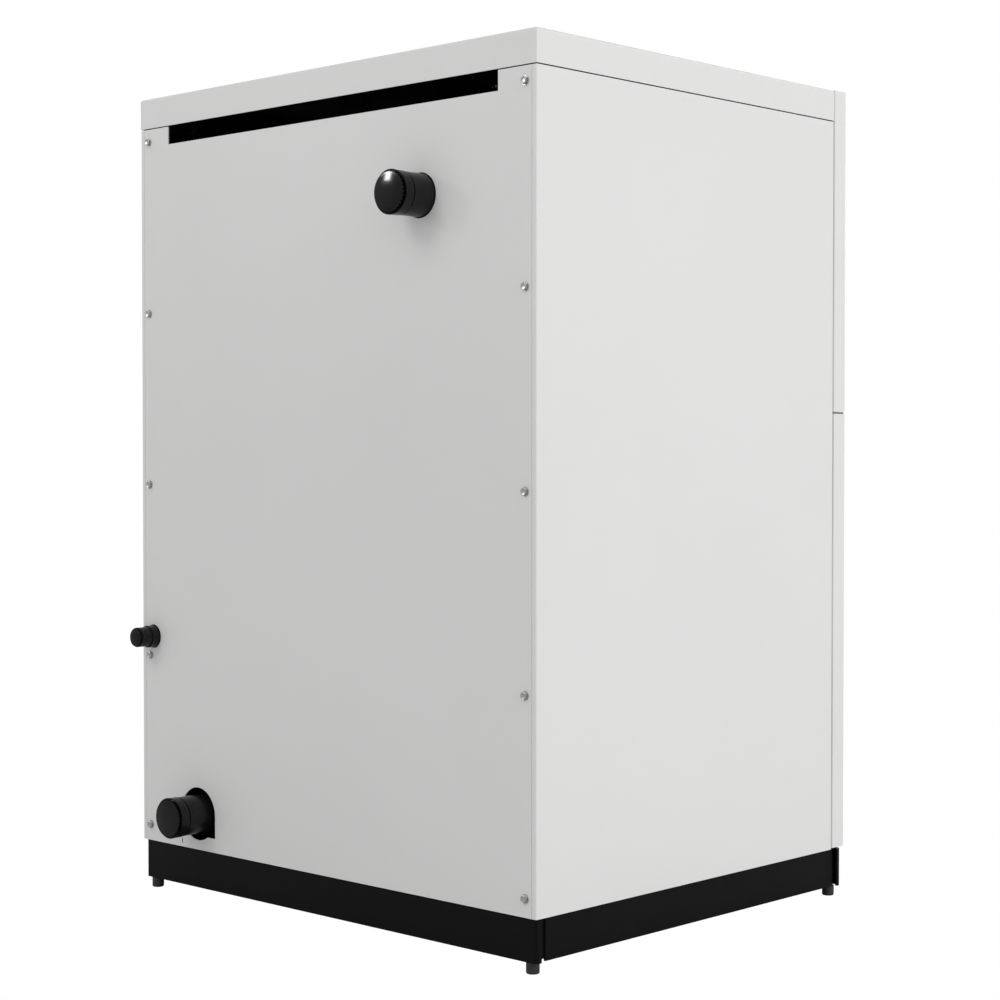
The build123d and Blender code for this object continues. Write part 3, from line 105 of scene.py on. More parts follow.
# place, what it looks at, size across in metres, watts
LAMPS = {
    "side_lamp": ((-3.4, -0.3, 1.5), (-0.2, 0, 0.45), 2.4, 44.0),
    "rear_lamp": ((0.4, 3.0, 2.9), (0, 0.2, 0.6), 1.6, 21.0),
    "glint_lamp": ((2.02, 2.16, 1.55), (-0.141, 0.264, 0.72), 0.3, 17.0),
    "front_lamp": ((0.9, -3.6, 1.8), (0, -0.2, 0.45), 2.4, 46.0),
}
for lamp_name, (place, target, across, watts) in LAMPS.items():
    bpy.ops.object.light_add(type="AREA", location=place)
    lamp = bpy.context.object
    lamp.name = lamp_name
    lamp.data.size = across
    lamp.data.energy = watts
    lamp.rotation_euler = (Vector(target) - Vector(place)).to_track_quat("-Z", "Y").to_euler()
    lamp.visible_diffuse = lamp_name != "glint_lamp"

# Casing panels, lid and doors: folded sheet steel with a pale grey powder coat, which has a
# fine orange peel and a slight drift of tone. The CAD sheets keep their shape.
POWDER_GRAIN, POWDER_RELIEF, POWDER_DRIFT = 1400.0, 0.00002, 4.0
SLOW_DETAIL, FINE_DETAIL = 3.0, 4.0
CONTRAST_LOW, CONTRAST_HIGH = 0.35, 0.65


def surface_group():
    """The effect that every finish shares: drift of tone, mottle of gloss, and fine relief."""
    group = bpy.data.node_groups.new("surface_finish", "ShaderNodeTree")
    face = group.interface
    for socket, kind in (
        ("Place", "NodeSocketVector"),
        ("Main", "NodeSocketColor"),
        ("Drift", "NodeSocketColor"),
        ("Drift Scale", "NodeSocketFloat"),
        ("Grain Scale", "NodeSocketFloat"),
        ("Stretch", "NodeSocketVector"),
        ("Gloss Low", "NodeSocketFloat"),
        ("Gloss High", "NodeSocketFloat"),
    ):
        face.new_socket(socket, in_out="INPUT", socket_type=kind)
    for socket, kind in (
        ("Color", "NodeSocketColor"),
        ("Roughness", "NodeSocketFloat"),
        ("Height", "NodeSocketFloat"),
    ):
        face.new_socket(socket, in_out="OUTPUT", socket_type=kind)
    nodes, links = group.nodes, group.links
    source, sink = nodes.new("NodeGroupInput"), nodes.new("NodeGroupOutput")
    stretch = nodes.new("ShaderNodeVectorMath")
    stretch.operation = "MULTIPLY"
    links.new(source.outputs["Place"], stretch.inputs[0])
    links.new(source.outputs["Stretch"], stretch.inputs[1])
    slow, fine = nodes.new("ShaderNodeTexNoise"), nodes.new("ShaderNodeTexNoise")
    slow.inputs["Detail"].default_value = SLOW_DETAIL
    fine.inputs["Detail"].default_value = FINE_DETAIL
    for noise, scale, vector in (
        (slow, "Drift Scale", source.outputs["Place"]),
        (fine, "Grain Scale", stretch.outputs[0]),
    ):
        links.new(vector, noise.inputs["Vector"])
        links.new(source.outputs[scale], noise.inputs["Scale"])
    blend = nodes.new("ShaderNodeMix")
    blend.data_type = "RGBA"
    contrast = nodes.new("ShaderNodeMapRange")
    contrast.inputs["From Min"].default_value = CONTRAST_LOW
    contrast.inputs["From Max"].default_value = CONTRAST_HIGH
    links.new(slow.outputs["Fac"], contrast.inputs["Value"])
    links.new(contrast.outputs[0], blend.inputs["Factor"])
    links.new(source.outputs["Main"], blend.inputs["A"])
    links.new(source.outputs["Drift"], blend.inputs["B"])
    gloss = nodes.new("ShaderNodeMapRange")
    links.new(fine.outputs["Fac"], gloss.inputs["Value"])
    links.new(source.outputs["Gloss Low"], gloss.inputs["To Min"])
    links.new(source.outputs["Gloss High"], gloss.inputs["To Max"])
    links.new(blend.outputs["Result"], sink.inputs["Color"])
    links.new(gloss.outputs[0], sink.inputs["Roughness"])
    links.new(fine.outputs["Fac"], sink.inputs["Height"])
    return group


FINISH = surface_group()


def finish(
    name, main, drift, gloss,
    grain=POWDER_GRAIN, relief=POWDER_RELIEF, stretch=(1, 1, 1), drift_scale=POWDER_DRIFT,
    **shader_values,
):
    """A material of one real finish; grain is in noise cells a metre, relief in metres."""
    material = bpy.data.materials.new(name)
    material.use_nodes = True
    nodes, links = material.node_tree.nodes, material.node_tree.links
    shader = nodes["Principled BSDF"]
    place = nodes.new("ShaderNodeTexCoord")
    effect = nodes.new("ShaderNodeGroup")
    effect.node_tree = FINISH
    effect.inputs["Main"].default_value = (*main, 1)
    effect.inputs["Drift"].default_value = (*drift, 1)
    effect.inputs["Drift Scale"].default_value = drift_scale
    effect.inputs["Grain Scale"].default_value = grain
    effect.inputs["Stretch"].default_value = stretch
    effect.inputs["Gloss Low"].default_value = gloss[0]
    effect.inputs["Gloss High"].default_value = gloss[1]
    bump = nodes.new("ShaderNodeBump")
    bump.inputs["Distance"].default_value = relief
    bump.inputs["Strength"].default_value = 1.0
    links.new(place.outputs["Object"], effect.inputs["Place"])
    links.new(effect.outputs["Color"], shader.inputs["Base Color"])
    links.new(effect.outputs["Roughness"], shader.inputs["Roughness"])
    links.new(effect.outputs["Height"], bump.inputs["Height"])
    links.new(bump.outputs["Normal"], shader.inputs["Normal"])
    for socket, value in shader_values.items():
        shader.inputs[socket.replace("_", " ")].default_value = value
    return material


def paint_nodes(material, *names):
    """Gives CAD nodes their material through their slots."""
    for name in names:
        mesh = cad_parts[name].data
        mesh.materials.clear()
        mesh.materials.append(material)


def paint_shade_inside(material, low, high, tone):
    """Paints shade on what lies between two corners of the object, behind its painted outer skin.
    """
    nodes, links = material.node_tree.nodes, material.node_tree.links
    shader = nodes["Principled BSDF"]
    place = nodes.new("ShaderNodeTexCoord")
    depth = None
    for place_input, corner in ((0, low), (1, high)):
        away = nodes.new("ShaderNodeVectorMath")
        away.operation = "SUBTRACT"
        links.new(place.outputs["Object"], away.inputs[place_input])
        away.inputs[1 - place_input].default_value = corner
        split = nodes.new("ShaderNodeSeparateXYZ")
        links.new(away.outputs[0], split.inputs[0])
        for axis in "XYZ":
            least = nodes.new("ShaderNodeMath")
            least.operation = "MINIMUM"
            least.inputs[1].default_value = 1.0
            links.new(split.outputs[axis], least.inputs[0])
            if depth is not None:
                links.new(depth, least.inputs[1])
            depth = least.outputs[0]
    inside = nodes.new("ShaderNodeMath")
    inside.operation = "GREATER_THAN"
    inside.inputs[1].default_value = 0.0
    links.new(depth, inside.inputs[0])
    painted = shader.inputs["Base Color"].links[0].from_socket
    blend = nodes.new("ShaderNodeMix")
    blend.data_type = "RGBA"
    blend.inputs["B"].default_value = (*tone, 1)
    links.new(inside.outputs[0], blend.inputs["Factor"])
    links.new(painted, blend.inputs["A"])
    links.new(blend.outputs["Result"], shader.inputs["Base Color"])


casing_paint_and_shade = finish(
    "casing_powder_coat_and_painted_shade", (0.80, 0.80, 0.795), (0.785, 0.785, 0.78), (0.42, 0.52),
    relief=0.000012, Specular_IOR_Level=0.3,
)
paint_nodes(
    casing_paint_and_shade,
    "side_panel_left", "side_panel_right", "rear_panel", "top_lid", "upper_door", "lower_door",
)
# Painted shade: the casing's inner faces and the lid's underside take a near-black tone. It stops
# short of the rear panel's sheet, so the edges of its cuts stay pale.
SKIN, REAR_SHEET = 0.0008, 0.0009
left_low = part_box("side_panel_left")[0]
right_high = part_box("side_panel_right")[1]
lid_low, lid_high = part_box("top_lid")
paint_shade_inside(
    casing_paint_and_shade,
    (left_low.x + SKIN, lid_low.y + SKIN, left_low.z - SKIN),
    (right_high.x - SKIN, lid_high.y - SKIN - REAR_SHEET, lid_high.z - SKIN),
    (0.02, 0.02, 0.02),
)

# Rear panel screws: zinc-plated hexagon heads with a pressed washer, five down each side. One is
# modelled with its chamfer and dish, then copied to each hole.
BACK = (math.radians(-90), 0, 0)
# How far a face's normal runs along the piece's own axis: more than SQUARE on an end, less than
# WALL on a side.
SQUARE, WALL = 0.9, 0.5
SMOOTH_ANGLE = 32
WELD = 0.000001


def start_clean():
    """Leaves nothing selected, so an operator acts only on what is added next."""
    if bpy.context.object and bpy.context.object.mode != "OBJECT":
        bpy.ops.object.mode_set(mode="OBJECT")
    bpy.ops.object.select_all(action="DESELECT")


def pick(piece, test):
    """In edit mode, selects the faces whose middle and normal pass the test."""
    bpy.ops.object.mode_set(mode="OBJECT")
    mesh = piece.data
    for group in (mesh.vertices, mesh.edges, mesh.polygons):
        for part in group:
            part.select = False
    for face in mesh.polygons:
        face.select = test(face.center, face.normal)
    bpy.ops.object.mode_set(mode="EDIT")
    bpy.ops.mesh.select_mode(type="FACE")


def outer_end(centre, normal):
    """The end face of a turned piece that looks out of the casing."""
    return normal.z > SQUARE


def settle(piece, name, material, body="casing", replaced=()):
    """Finishes a piece: place into its mesh, normals out, material, body and slot."""
    start_clean()
    piece.select_set(True)
    bpy.context.view_layer.objects.active = piece
    bpy.ops.object.transform_apply(location=True, rotation=True, scale=True)
    bpy.ops.object.mode_set(mode="EDIT")
    bpy.ops.mesh.select_all(action="SELECT")
    bpy.ops.mesh.remove_doubles(threshold=WELD)
    bpy.ops.mesh.normals_make_consistent(inside=False)
    bpy.ops.object.mode_set(mode="OBJECT")
    bpy.ops.object.shade_smooth_by_angle(angle=math.radians(SMOOTH_ANGLE))
    piece.name = name
    piece.data.materials.clear()
    piece.data.materials.append(material)
    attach(piece, body)
    if replaced:
        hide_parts(*replaced)
    return piece


def copied(piece, offset):
    """A copy with its own mesh, moved by offset."""
    twin = piece.copy()
    twin.data = piece.data.copy()
    bpy.context.collection.objects.link(twin)
    twin.location = piece.location + Vector(offset)
    return twin


def joined(pieces):
    """Several meshes made one object."""
    start_clean()
    for piece in pieces:
        piece.select_set(True)
    bpy.context.view_layer.objects.active = pieces[0]
    bpy.ops.object.transform_apply(location=True, rotation=True, scale=True)
    bpy.ops.object.join()
    return bpy.context.object


def cylinder(sides, radius, depth, place, turn):
    """A closed cylinder round its middle, whose own z is turned to look along turn."""
    start_clean()
    bpy.ops.mesh.primitive_cylinder_add(
        vertices=sides, radius=radius, depth=depth, location=place, rotation=turn
    )
    return bpy.context.object


SCREWS_A_SIDE = 5
WASHER_SIDES, WASHER_RADIUS, WASHER_DEPTH = 48, 0.00435, 0.0008
HEAD_SIDES, HEAD_RADIUS, HEAD_DEPTH, HEAD_MIDDLE = 6, 0.0037, 0.0021, 0.00175
CHAMFER, CHAMFER_RISE = 0.0004, 0.00025
DISH, DISH_DEPTH = 0.0007, 0.0003
screw_low, screw_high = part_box("rear_panel_screws")
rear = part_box("rear_panel")[1].y
screw_x = screw_high.x - WASHER_RADIUS
screw_z = screw_low.z + WASHER_RADIUS
screw_step = (screw_high.z - screw_low.z - 2 * WASHER_RADIUS) / (SCREWS_A_SIDE - 1)
zinc = finish(
    "zinc_plating", (0.50, 0.50, 0.49), (0.42, 0.42, 0.41), (0.28, 0.42), grain=900, Metallic=0.9
)
washer_place = (screw_x, rear + WASHER_DEPTH / 2, screw_z)
washer = cylinder(WASHER_SIDES, WASHER_RADIUS, WASHER_DEPTH, washer_place, BACK)
head_place = (screw_x, rear + HEAD_MIDDLE, screw_z)
head = cylinder(HEAD_SIDES, HEAD_RADIUS, HEAD_DEPTH, head_place, BACK)
pick(head, outer_end)
bpy.ops.mesh.inset(thickness=CHAMFER)
bpy.ops.transform.translate(value=(0, CHAMFER_RISE, 0))
bpy.ops.mesh.inset(thickness=DISH)
bpy.ops.transform.translate(value=(0, -DISH_DEPTH, 0))
bpy.ops.object.mode_set(mode="OBJECT")
one_screw = joined([washer, head])
screws = [one_screw]
for across in (0, -2 * screw_x):
    for row in range(SCREWS_A_SIDE):
        if across or row:
            screws.append(copied(one_screw, (across, 0, row * screw_step)))
settle(joined(screws), "rear_screw_heads", zinc, replaced=["rear_panel_screws"])

# Plinth boards and base frame: folded steel in satin black paint, whose rounded ends catch the
# light as a thin pale line. The feet under them are black mouldings.
plinth_paint = finish(
    "plinth_black", (0.003, 0.003, 0.003), (0.004, 0.004, 0.004), (0.38, 0.5),
    relief=0.000012, Specular_IOR_Level=0.08,
)
paint_nodes(plinth_paint, "plinth_rear", "plinth_front", "plinth_sides", "base_frame")
foot_plastic = finish(
    "foot_black", (0.012, 0.012, 0.012), (0.018, 0.018, 0.018), (0.45, 0.6), grain=2200
)
paint_nodes(foot_plastic, *[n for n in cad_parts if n.startswith("foot_")])

# Water and gas pipes and the burners' manifold: steel tube in glossy black enamel, bent cold,
# as black as the pipe ends in the photograph.
pipe_enamel = finish(
    "pipe_black_enamel", (0.006, 0.006, 0.006), (0.009, 0.009, 0.009), (0.2, 0.32),
    relief=0.00001, Specular_IOR_Level=0.2,
)
paint_nodes(pipe_enamel, "flow_pipe", "return_pipe", "gas_pipe", "gas_manifold")

# Port caps: moulded plugs in glossy black, with a ribbed rim for the fingers and a domed face.
# Each is a ribbed disc, a dome raised ring by ring, and a stem in the pipe.
cap_black = finish(
    "cap_gloss_black", (0.003, 0.003, 0.003), (0.005, 0.005, 0.005), (0.1, 0.16),
    relief=0.000004, Specular_IOR_Level=0.18,
)
DOME_RINGS = 7
FACETS_A_RIB = 4
STEM_SIDES, STEM_ROUND = 64, 0.0008


def on_rib(centre, facets):
    """Whether a side facet stands on a rib; a rib and its gap share four facets."""
    facet = int((math.atan2(centre.y, centre.x) % math.tau) / (math.tau / facets))
    return facet % FACETS_A_RIB < FACETS_A_RIB / 2


def port_cap(node, rim, ribs, rib, stem_radius, dome):
    """A cap in the place of its CAD node; rim is the thickness of the ribbed disc."""
    low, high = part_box(node)
    x, z = (low.x + high.x) / 2, (low.z + high.z) / 2
    radius = (high.x - low.x) / 2 - rib
    seat = high.y - rim - dome
    facets = ribs * FACETS_A_RIB
    disc = cylinder(facets, radius, rim, (x, seat + rim / 2, z), BACK)
    pick(disc, lambda centre, normal: abs(normal.z) < WALL and on_rib(centre, facets))
    bpy.ops.mesh.extrude_region_shrink_fatten(TRANSFORM_OT_shrink_fatten={"value": -rib})
    pick(disc, outer_end)
    bpy.ops.mesh.inset(thickness=rib)
    span = radius - rib
    ring = span / (DOME_RINGS + 1)
    for k in range(1, DOME_RINGS):
        bpy.ops.mesh.inset(thickness=ring)
        rise = dome * ((1 - k * ring / span) ** 2 - (1 - (k + 1) * ring / span) ** 2)
        bpy.ops.transform.translate(value=(0, rise, 0))
    bpy.ops.object.mode_set(mode="OBJECT")
    stem_depth = seat - low.y
    stem = cylinder(STEM_SIDES, stem_radius, stem_depth, (x, seat - stem_depth / 2, z), BACK)
    pick(stem, lambda centre, normal: normal.z < -SQUARE)
    bpy.ops.mesh.bevel(offset=STEM_ROUND, segments=2)
    bpy.ops.object.mode_set(mode="OBJECT")
    settle(joined([disc, stem]), node + "_moulding", cap_black, node, [node])


# rim, count of ribs, height of a rib, radius of the stem, rise of the dome
CAPS = {
    "flow_cap": (0.003, 32, 0.0009, 0.0174, 0.0016),
    "return_cap": (0.003, 32, 0.0009, 0.0174, 0.0016),
    "gas_cap": (0.0018, 24, 0.0005, 0.0074, 0.0008),
}
for cap_node, cap_sizes in CAPS.items():
    port_cap(cap_node, *cap_sizes)

# Front rails, hinge brackets, chamber, front plate and collar: galvanised sheet with a faint
# spangle. The hood is painted black and the collar dark below the lid: painted shade, so the
# relief slot looks dark inside. The hinge pins and tie rods are plated as the screws are.
SHEET = {
    "main": (0.40, 0.41, 0.42), "drift": (0.30, 0.31, 0.32), "gloss": (0.35, 0.55),
    "grain": 260, "Metallic": 0.8,
}
galvanised = finish("galvanised_sheet", **SHEET, drift_scale=70)
paint_nodes(
    galvanised, "front_rails", "door_hinge_brackets", "combustion_chamber", "burner_front_plate"
)
collar_steel_painted_shade = finish("collar_steel_painted_shade", **SHEET)
# Painted shade: below the lid the collar takes a near-black tone.
paint_shade_inside(collar_steel_painted_shade, (-1, -1, -1), (1, 1, lid_high.z - SKIN), (0.01, 0.01, 0.01))
paint_nodes(collar_steel_painted_shade, "flue_collar")
# Painted shade: the hood is near-black, so the relief slot looks dark inside.
hood_painted_shade = finish(
    "hood_black_painted_shade", (0.004, 0.004, 0.004), (0.006, 0.006, 0.006), (0.8, 0.9),
    Specular_IOR_Level=0.05,
)
paint_nodes(hood_painted_shade, "draught_hood")
paint_nodes(zinc, "rear_panel_screws", "tie_rods", "door_hinge_pins")

# The collar's mouth is turned over a wire, which leaves a round bead for the flue pipe to pass.
# A black rope seal lies round the collar, in the gap that the lid's hole leaves.
MOUTH_RADIUS, BEAD = 0.0665, 0.0011
ROPE_RING, ROPE, ROPE_DROP = 0.0685, 0.0018, 0.0014
collar_low, collar_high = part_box("flue_collar")
flue_x, flue_y = (collar_low.x + collar_high.x) / 2, (collar_low.y + collar_high.y) / 2


def torus(ring, wire, z):
    """A round wire bent to a ring, level round the flue."""
    start_clean()
    bpy.ops.mesh.primitive_torus_add(
        major_radius=ring, minor_radius=wire, major_segments=96, minor_segments=12,
        location=(flue_x, flue_y, z),
    )
    return bpy.context.object


bead = torus(MOUTH_RADIUS + BEAD / 2, BEAD, collar_high.z - BEAD)
settle(bead, "flue_collar_bead", galvanised)
rope = finish(
    "rope_seal", (0.012, 0.012, 0.012), (0.02, 0.02, 0.02), (0.8, 0.95), grain=1400, relief=0.0003
)
rope_ring = torus(ROPE_RING, ROPE, lid_high.z - ROPE_DROP)
settle(rope_ring, "flue_rope_seal", rope)

# Door grips, catches, glands and switch parts: fine-grained black mouldings, all of one
# material. The thermostat's knob gets its own mesh further down.
black_moulding = finish(
    "black_moulding", (0.016, 0.016, 0.017), (0.022, 0.022, 0.023), (0.4, 0.52), grain=2600
)
paint_nodes(
    black_moulding,
    "upper_door_grip", "lower_door_grip", "magnetic_catches", "thermostat_knob",
    "thermostat_body", "gauge_body", "main_switch_housing", "main_switch_rocker",
    "igniter_button", "cable_glands", "gas_valve_knob",
)

# Each door closes on a foam strip glued along its pan's edge, on every side but the hinged one,
# where the brackets pass.
foam = finish(
    "seal_foam", (0.60, 0.60, 0.59), (0.52, 0.52, 0.51), (0.85, 0.95), grain=1800, relief=0.0002
)
FOAM_WIDTH, FOAM_DEPTH, FOAM_INSET, FOAM_MIDDLE = 0.006, 0.0013, 0.0003, 0.0007
for door_name in ("upper_door", "lower_door"):
    low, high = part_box(door_name)
    start_clean()
    bpy.ops.mesh.primitive_plane_add(
        size=1, location=((low.x + high.x) / 2, high.y + FOAM_MIDDLE, (low.z + high.z) / 2)
    )
    seal = bpy.context.object
    seal.rotation_euler = (math.radians(90), 0, 0)
    seal.scale = (high.x - low.x - 2 * FOAM_INSET, high.z - low.z - 2 * FOAM_INSET, 1)
    bpy.ops.object.transform_apply(location=True, rotation=True, scale=True)
    pick(seal, lambda centre, normal: True)
    bpy.ops.mesh.inset(thickness=FOAM_WIDTH)
    bpy.ops.mesh.delete(type="FACE")
    pick(seal, lambda centre, normal: centre.x > high.x - FOAM_WIDTH)
    bpy.ops.mesh.delete(type="FACE")
    bpy.ops.object.mode_set(mode="OBJECT")
    wall = seal.modifiers.new("foam", "SOLIDIFY")
    wall.thickness = FOAM_DEPTH
    wall.offset = 0
    bpy.ops.object.modifier_apply(modifier="foam")
    settle(seal, door_name + "_seal", foam, body=door_name)

# The gap between the doors is closed by a grey lip on the lower door's top edge, so that no
# light shows through it from behind.
LIP_HEIGHT, LIP_INSET = 0.0017, 0.002
lower_low, lower_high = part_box("lower_door")
start_clean()
bpy.ops.mesh.primitive_cube_add(
    size=1, location=(0, (lower_low.y + lower_high.y) / 2, lower_high.z + LIP_HEIGHT / 2)
)
lip = bpy.context.object
lip.scale = (
    lower_high.x - lower_low.x - 2 * LIP_INSET,
    lower_high.y - lower_low.y - 2 * LIP_INSET,
    LIP_HEIGHT,
)
lip_grey = finish("strip_grey", (0.10, 0.10, 0.10), (0.13, 0.13, 0.13), (0.6, 0.75), grain=1800)
settle(lip, "door_gap_lip", lip_grey, body="lower_door")

# Control fascia and box: dark grey mouldings. The thermostat's scale is a printed ring with
# ticks and the numbers 1 to 6, the gauge has ticks and plain numbers, and the switch has 0 and I.
PRINT_RELIEF = 0.000004
fascia_grey = finish(
    "fascia_grey", (0.055, 0.058, 0.062), (0.065, 0.068, 0.072), (0.45, 0.6), grain=2400
)
paint_nodes(fascia_grey, "control_fascia", "control_box")
print_white = finish(
    "printed_white", (0.78, 0.78, 0.78), (0.74, 0.74, 0.74), (0.5, 0.6), relief=PRINT_RELIEF
)
dial_white = finish(
    "dial_white", (0.85, 0.85, 0.84), (0.82, 0.82, 0.81), (0.5, 0.6), relief=PRINT_RELIEF
)
FRONTWARD = (math.radians(90), 0, 0)
PRINT = 0.00015
fascia_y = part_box("control_fascia")[0].y


def tick(centre, angle, inner, outer, width, y):
    """A bar that points away from the centre; angle 0 is up, and it grows clockwise."""
    start_clean()
    middle = (inner + outer) / 2
    place = (centre[0] + middle * math.sin(angle), y, centre[1] + middle * math.cos(angle))
    bpy.ops.mesh.primitive_cube_add(size=1, location=place, rotation=(0, angle, 0))
    bar = bpy.context.object
    bar.scale = (width, PRINT * 2, outer - inner)
    bpy.ops.object.transform_apply(location=True, rotation=True, scale=True)
    return bar


def number(words, centre, angle, radius, size, y):
    """A plain number standing upright at its place on a scale."""
    start_clean()
    place = (centre[0] + radius * math.sin(angle), y, centre[1] + radius * math.cos(angle))
    bpy.ops.object.text_add(location=place, rotation=FRONTWARD)
    text = bpy.context.object
    text.data.body = words
    text.data.size = size
    text.data.align_x = "CENTER"
    text.data.align_y = "CENTER"
    text.data.extrude = PRINT
    text.data.resolution_u = 3
    bpy.ops.object.convert(target="MESH")
    return bpy.context.object


# The knob is a skirted dial with finger ribs and a white pointer, which stands at 6 and turns
# down to 1. Its scale is printed round it on the fascia.
SCALE_MARKS, SCALE_START, SCALE_STEP = 6, -135, 54
SCALE_TICK = (0.0215, 0.0245, 0.0008)
SCALE_NUMBERS, SCALE_LETTER = 0.0285, 0.006
KNOB_FACETS, KNOB_RIB, KNOB_RIM, KNOB_DISH, KNOB_EDGE = 96, 0.0006, 0.0022, 0.0012, 0.0004
POINTER = (0.008, 0.0155, 0.0012)
POINTER_BEHIND = 0.0011
knob_low, knob_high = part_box("thermostat_knob")
knob_centre = ((knob_low.x + knob_high.x) / 2, (knob_low.z + knob_high.z) / 2)
marks = []
for step in range(SCALE_MARKS):
    angle = math.radians(SCALE_START + step * SCALE_STEP)
    marks.append(tick(knob_centre, angle, *SCALE_TICK, fascia_y))
    marks.append(number(str(step + 1), knob_centre, angle, SCALE_NUMBERS, SCALE_LETTER, fascia_y))
settle(joined(marks), "thermostat_scale", print_white)

knob_depth = knob_high.y - knob_low.y
knob_radius = (knob_high.x - knob_low.x) / 2 - KNOB_RIB
knob_middle = (knob_centre[0], (knob_low.y + knob_high.y) / 2, knob_centre[1])
knob = cylinder(KNOB_FACETS, knob_radius, knob_depth, knob_middle, FRONTWARD)
pick(knob, outer_end)
bpy.ops.mesh.inset(thickness=KNOB_RIM)
bpy.ops.mesh.extrude_region_move(TRANSFORM_OT_translate={"value": (0, KNOB_DISH, 0)})
pick(
    knob,
    lambda centre, normal: abs(normal.z) < WALL
    and centre.xy.length > knob_radius - KNOB_EDGE
    and on_rib(centre, KNOB_FACETS),
)
bpy.ops.mesh.extrude_region_shrink_fatten(TRANSFORM_OT_shrink_fatten={"value": -KNOB_RIB})
bpy.ops.object.mode_set(mode="OBJECT")
settle(
    knob, "thermostat_dial_knob", black_moulding, "thermostat_knob",
    ["thermostat_knob"],
)
pointer_angle = math.radians(SCALE_START + (SCALE_MARKS - 1) * SCALE_STEP)
pointer = tick(knob_centre, pointer_angle, *POINTER, knob_low.y + POINTER_BEHIND)
settle(pointer, "thermostat_pointer", print_white, "thermostat_knob")

# The gauge's card lies on the cup's floor, under the needle, with 25 ticks and a number at every
# fourth; the glass over it is clear.
CARD_SIDES, CARD_RADIUS, CARD_DEPTH, CARD_MIDDLE = 96, 0.0236, 0.0006, 0.0002
CARD_RIM, CARD_DISH = 0.0005, 0.0001
CUP_DEPTH, CARD_STANDOFF = 0.006, 0.0004
GAUGE_MARKS, GAUGE_START, GAUGE_STEP, GAUGE_LONG = 25, -120, 10, 4
LONG_TICK, SHORT_TICK = (0.0195, 0.0225, 0.0004), (0.0208, 0.0225, 0.0004)
GAUGE_NUMBERS, GAUGE_LETTER, GAUGE_UNIT = 0.0165, 0.0034, 5
glass_low, glass_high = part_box("gauge_glass")
gauge_centre = ((glass_low.x + glass_high.x) / 2, (glass_low.z + glass_high.z) / 2)
card_y = fascia_y + CUP_DEPTH - CARD_STANDOFF
card_place = (gauge_centre[0], card_y + CARD_MIDDLE, gauge_centre[1])
card = cylinder(CARD_SIDES, CARD_RADIUS, CARD_DEPTH, card_place, FRONTWARD)
pick(card, outer_end)
bpy.ops.mesh.inset(thickness=CARD_RIM)
bpy.ops.transform.translate(value=(0, CARD_DISH, 0))
bpy.ops.object.mode_set(mode="OBJECT")
settle(card, "gauge_card", dial_white)
gauge_ink = finish(
    "gauge_ink", (0.02, 0.02, 0.02), (0.03, 0.03, 0.03), (0.5, 0.6), relief=PRINT_RELIEF
)
marks = []
for step in range(GAUGE_MARKS):
    angle = math.radians(GAUGE_START + step * GAUGE_STEP)
    is_long = step % GAUGE_LONG == 0
    marks.append(
        tick(gauge_centre, angle, *(LONG_TICK if is_long else SHORT_TICK), card_y - PRINT)
    )
    if is_long:
        words = str(step * GAUGE_UNIT)
        marks.append(
            number(words, gauge_centre, angle, GAUGE_NUMBERS, GAUGE_LETTER, card_y - PRINT)
        )
settle(joined(marks), "gauge_marks", gauge_ink)
needle_red = finish(
    "needle_red", (0.5, 0.02, 0.02), (0.45, 0.02, 0.02), (0.35, 0.5), relief=PRINT_RELIEF
)
paint_nodes(needle_red, "gauge_needle")
clear_glass = finish(
    "gauge_clear_glass", (1, 1, 1), (0.98, 1, 0.99), (0.0, 0.02),
    relief=0.000001, Transmission_Weight=1.0, IOR=1.45,
)
paint_nodes(clear_glass, "gauge_glass")

# The rocker carries a raised I on its standing half and a raised 0 on its pressed one. The reset
# button and the lamps are coloured mouldings.
ONE_MARK, ONE_PROUD = (0.0055, 0.0105, 0.0009), 0.0034
ZERO_AT, ZERO_LETTER, ZERO_PROUD = 0.0075, 0.007, 0.0007
rocker_low, rocker_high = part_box("main_switch_rocker")
rocker_centre = ((rocker_low.x + rocker_high.x) / 2, (rocker_low.z + rocker_high.z) / 2)
marks = [
    tick(rocker_centre, 0, *ONE_MARK, fascia_y - ONE_PROUD),
    number("0", rocker_centre, math.pi, ZERO_AT, ZERO_LETTER, fascia_y - ZERO_PROUD),
]
settle(joined(marks), "switch_marks", print_white, "switch_rocker")
reset_red = finish(
    "reset_red", (0.42, 0.012, 0.01), (0.38, 0.012, 0.01), (0.22, 0.32),
    grain=2200, Coat_Weight=0.3,
)
paint_nodes(reset_red, "reset_button")
lamp_amber = finish(
    "lamp_amber", (0.75, 0.25, 0.03), (0.7, 0.22, 0.03), (0.12, 0.2),
    relief=PRINT_RELIEF, Coat_Weight=0.5,
)
paint_nodes(lamp_amber, "indicator_lamps")

# Cast-iron block: sand-cast sections with a rough, nearly black skin; nipples and burners are
# bright steel that heat has dulled.
cast_iron = finish(
    "sand_cast_iron", (0.045, 0.045, 0.047), (0.07, 0.066, 0.062), (0.6, 0.8),
    grain=700, relief=0.0004, Metallic=0.4,
)
paint_nodes(cast_iron, "block_end_left", "block_end_right", "block_middle_sections")
burner_steel = finish(
    "heat_dulled_steel", (0.36, 0.33, 0.30), (0.22, 0.20, 0.2), (0.32, 0.5),
    drift_scale=18, stretch=(6, 0.5, 6), Metallic=0.9,
)
paint_nodes(burner_steel, "block_nipples", "burner_bars", "pilot_burner")

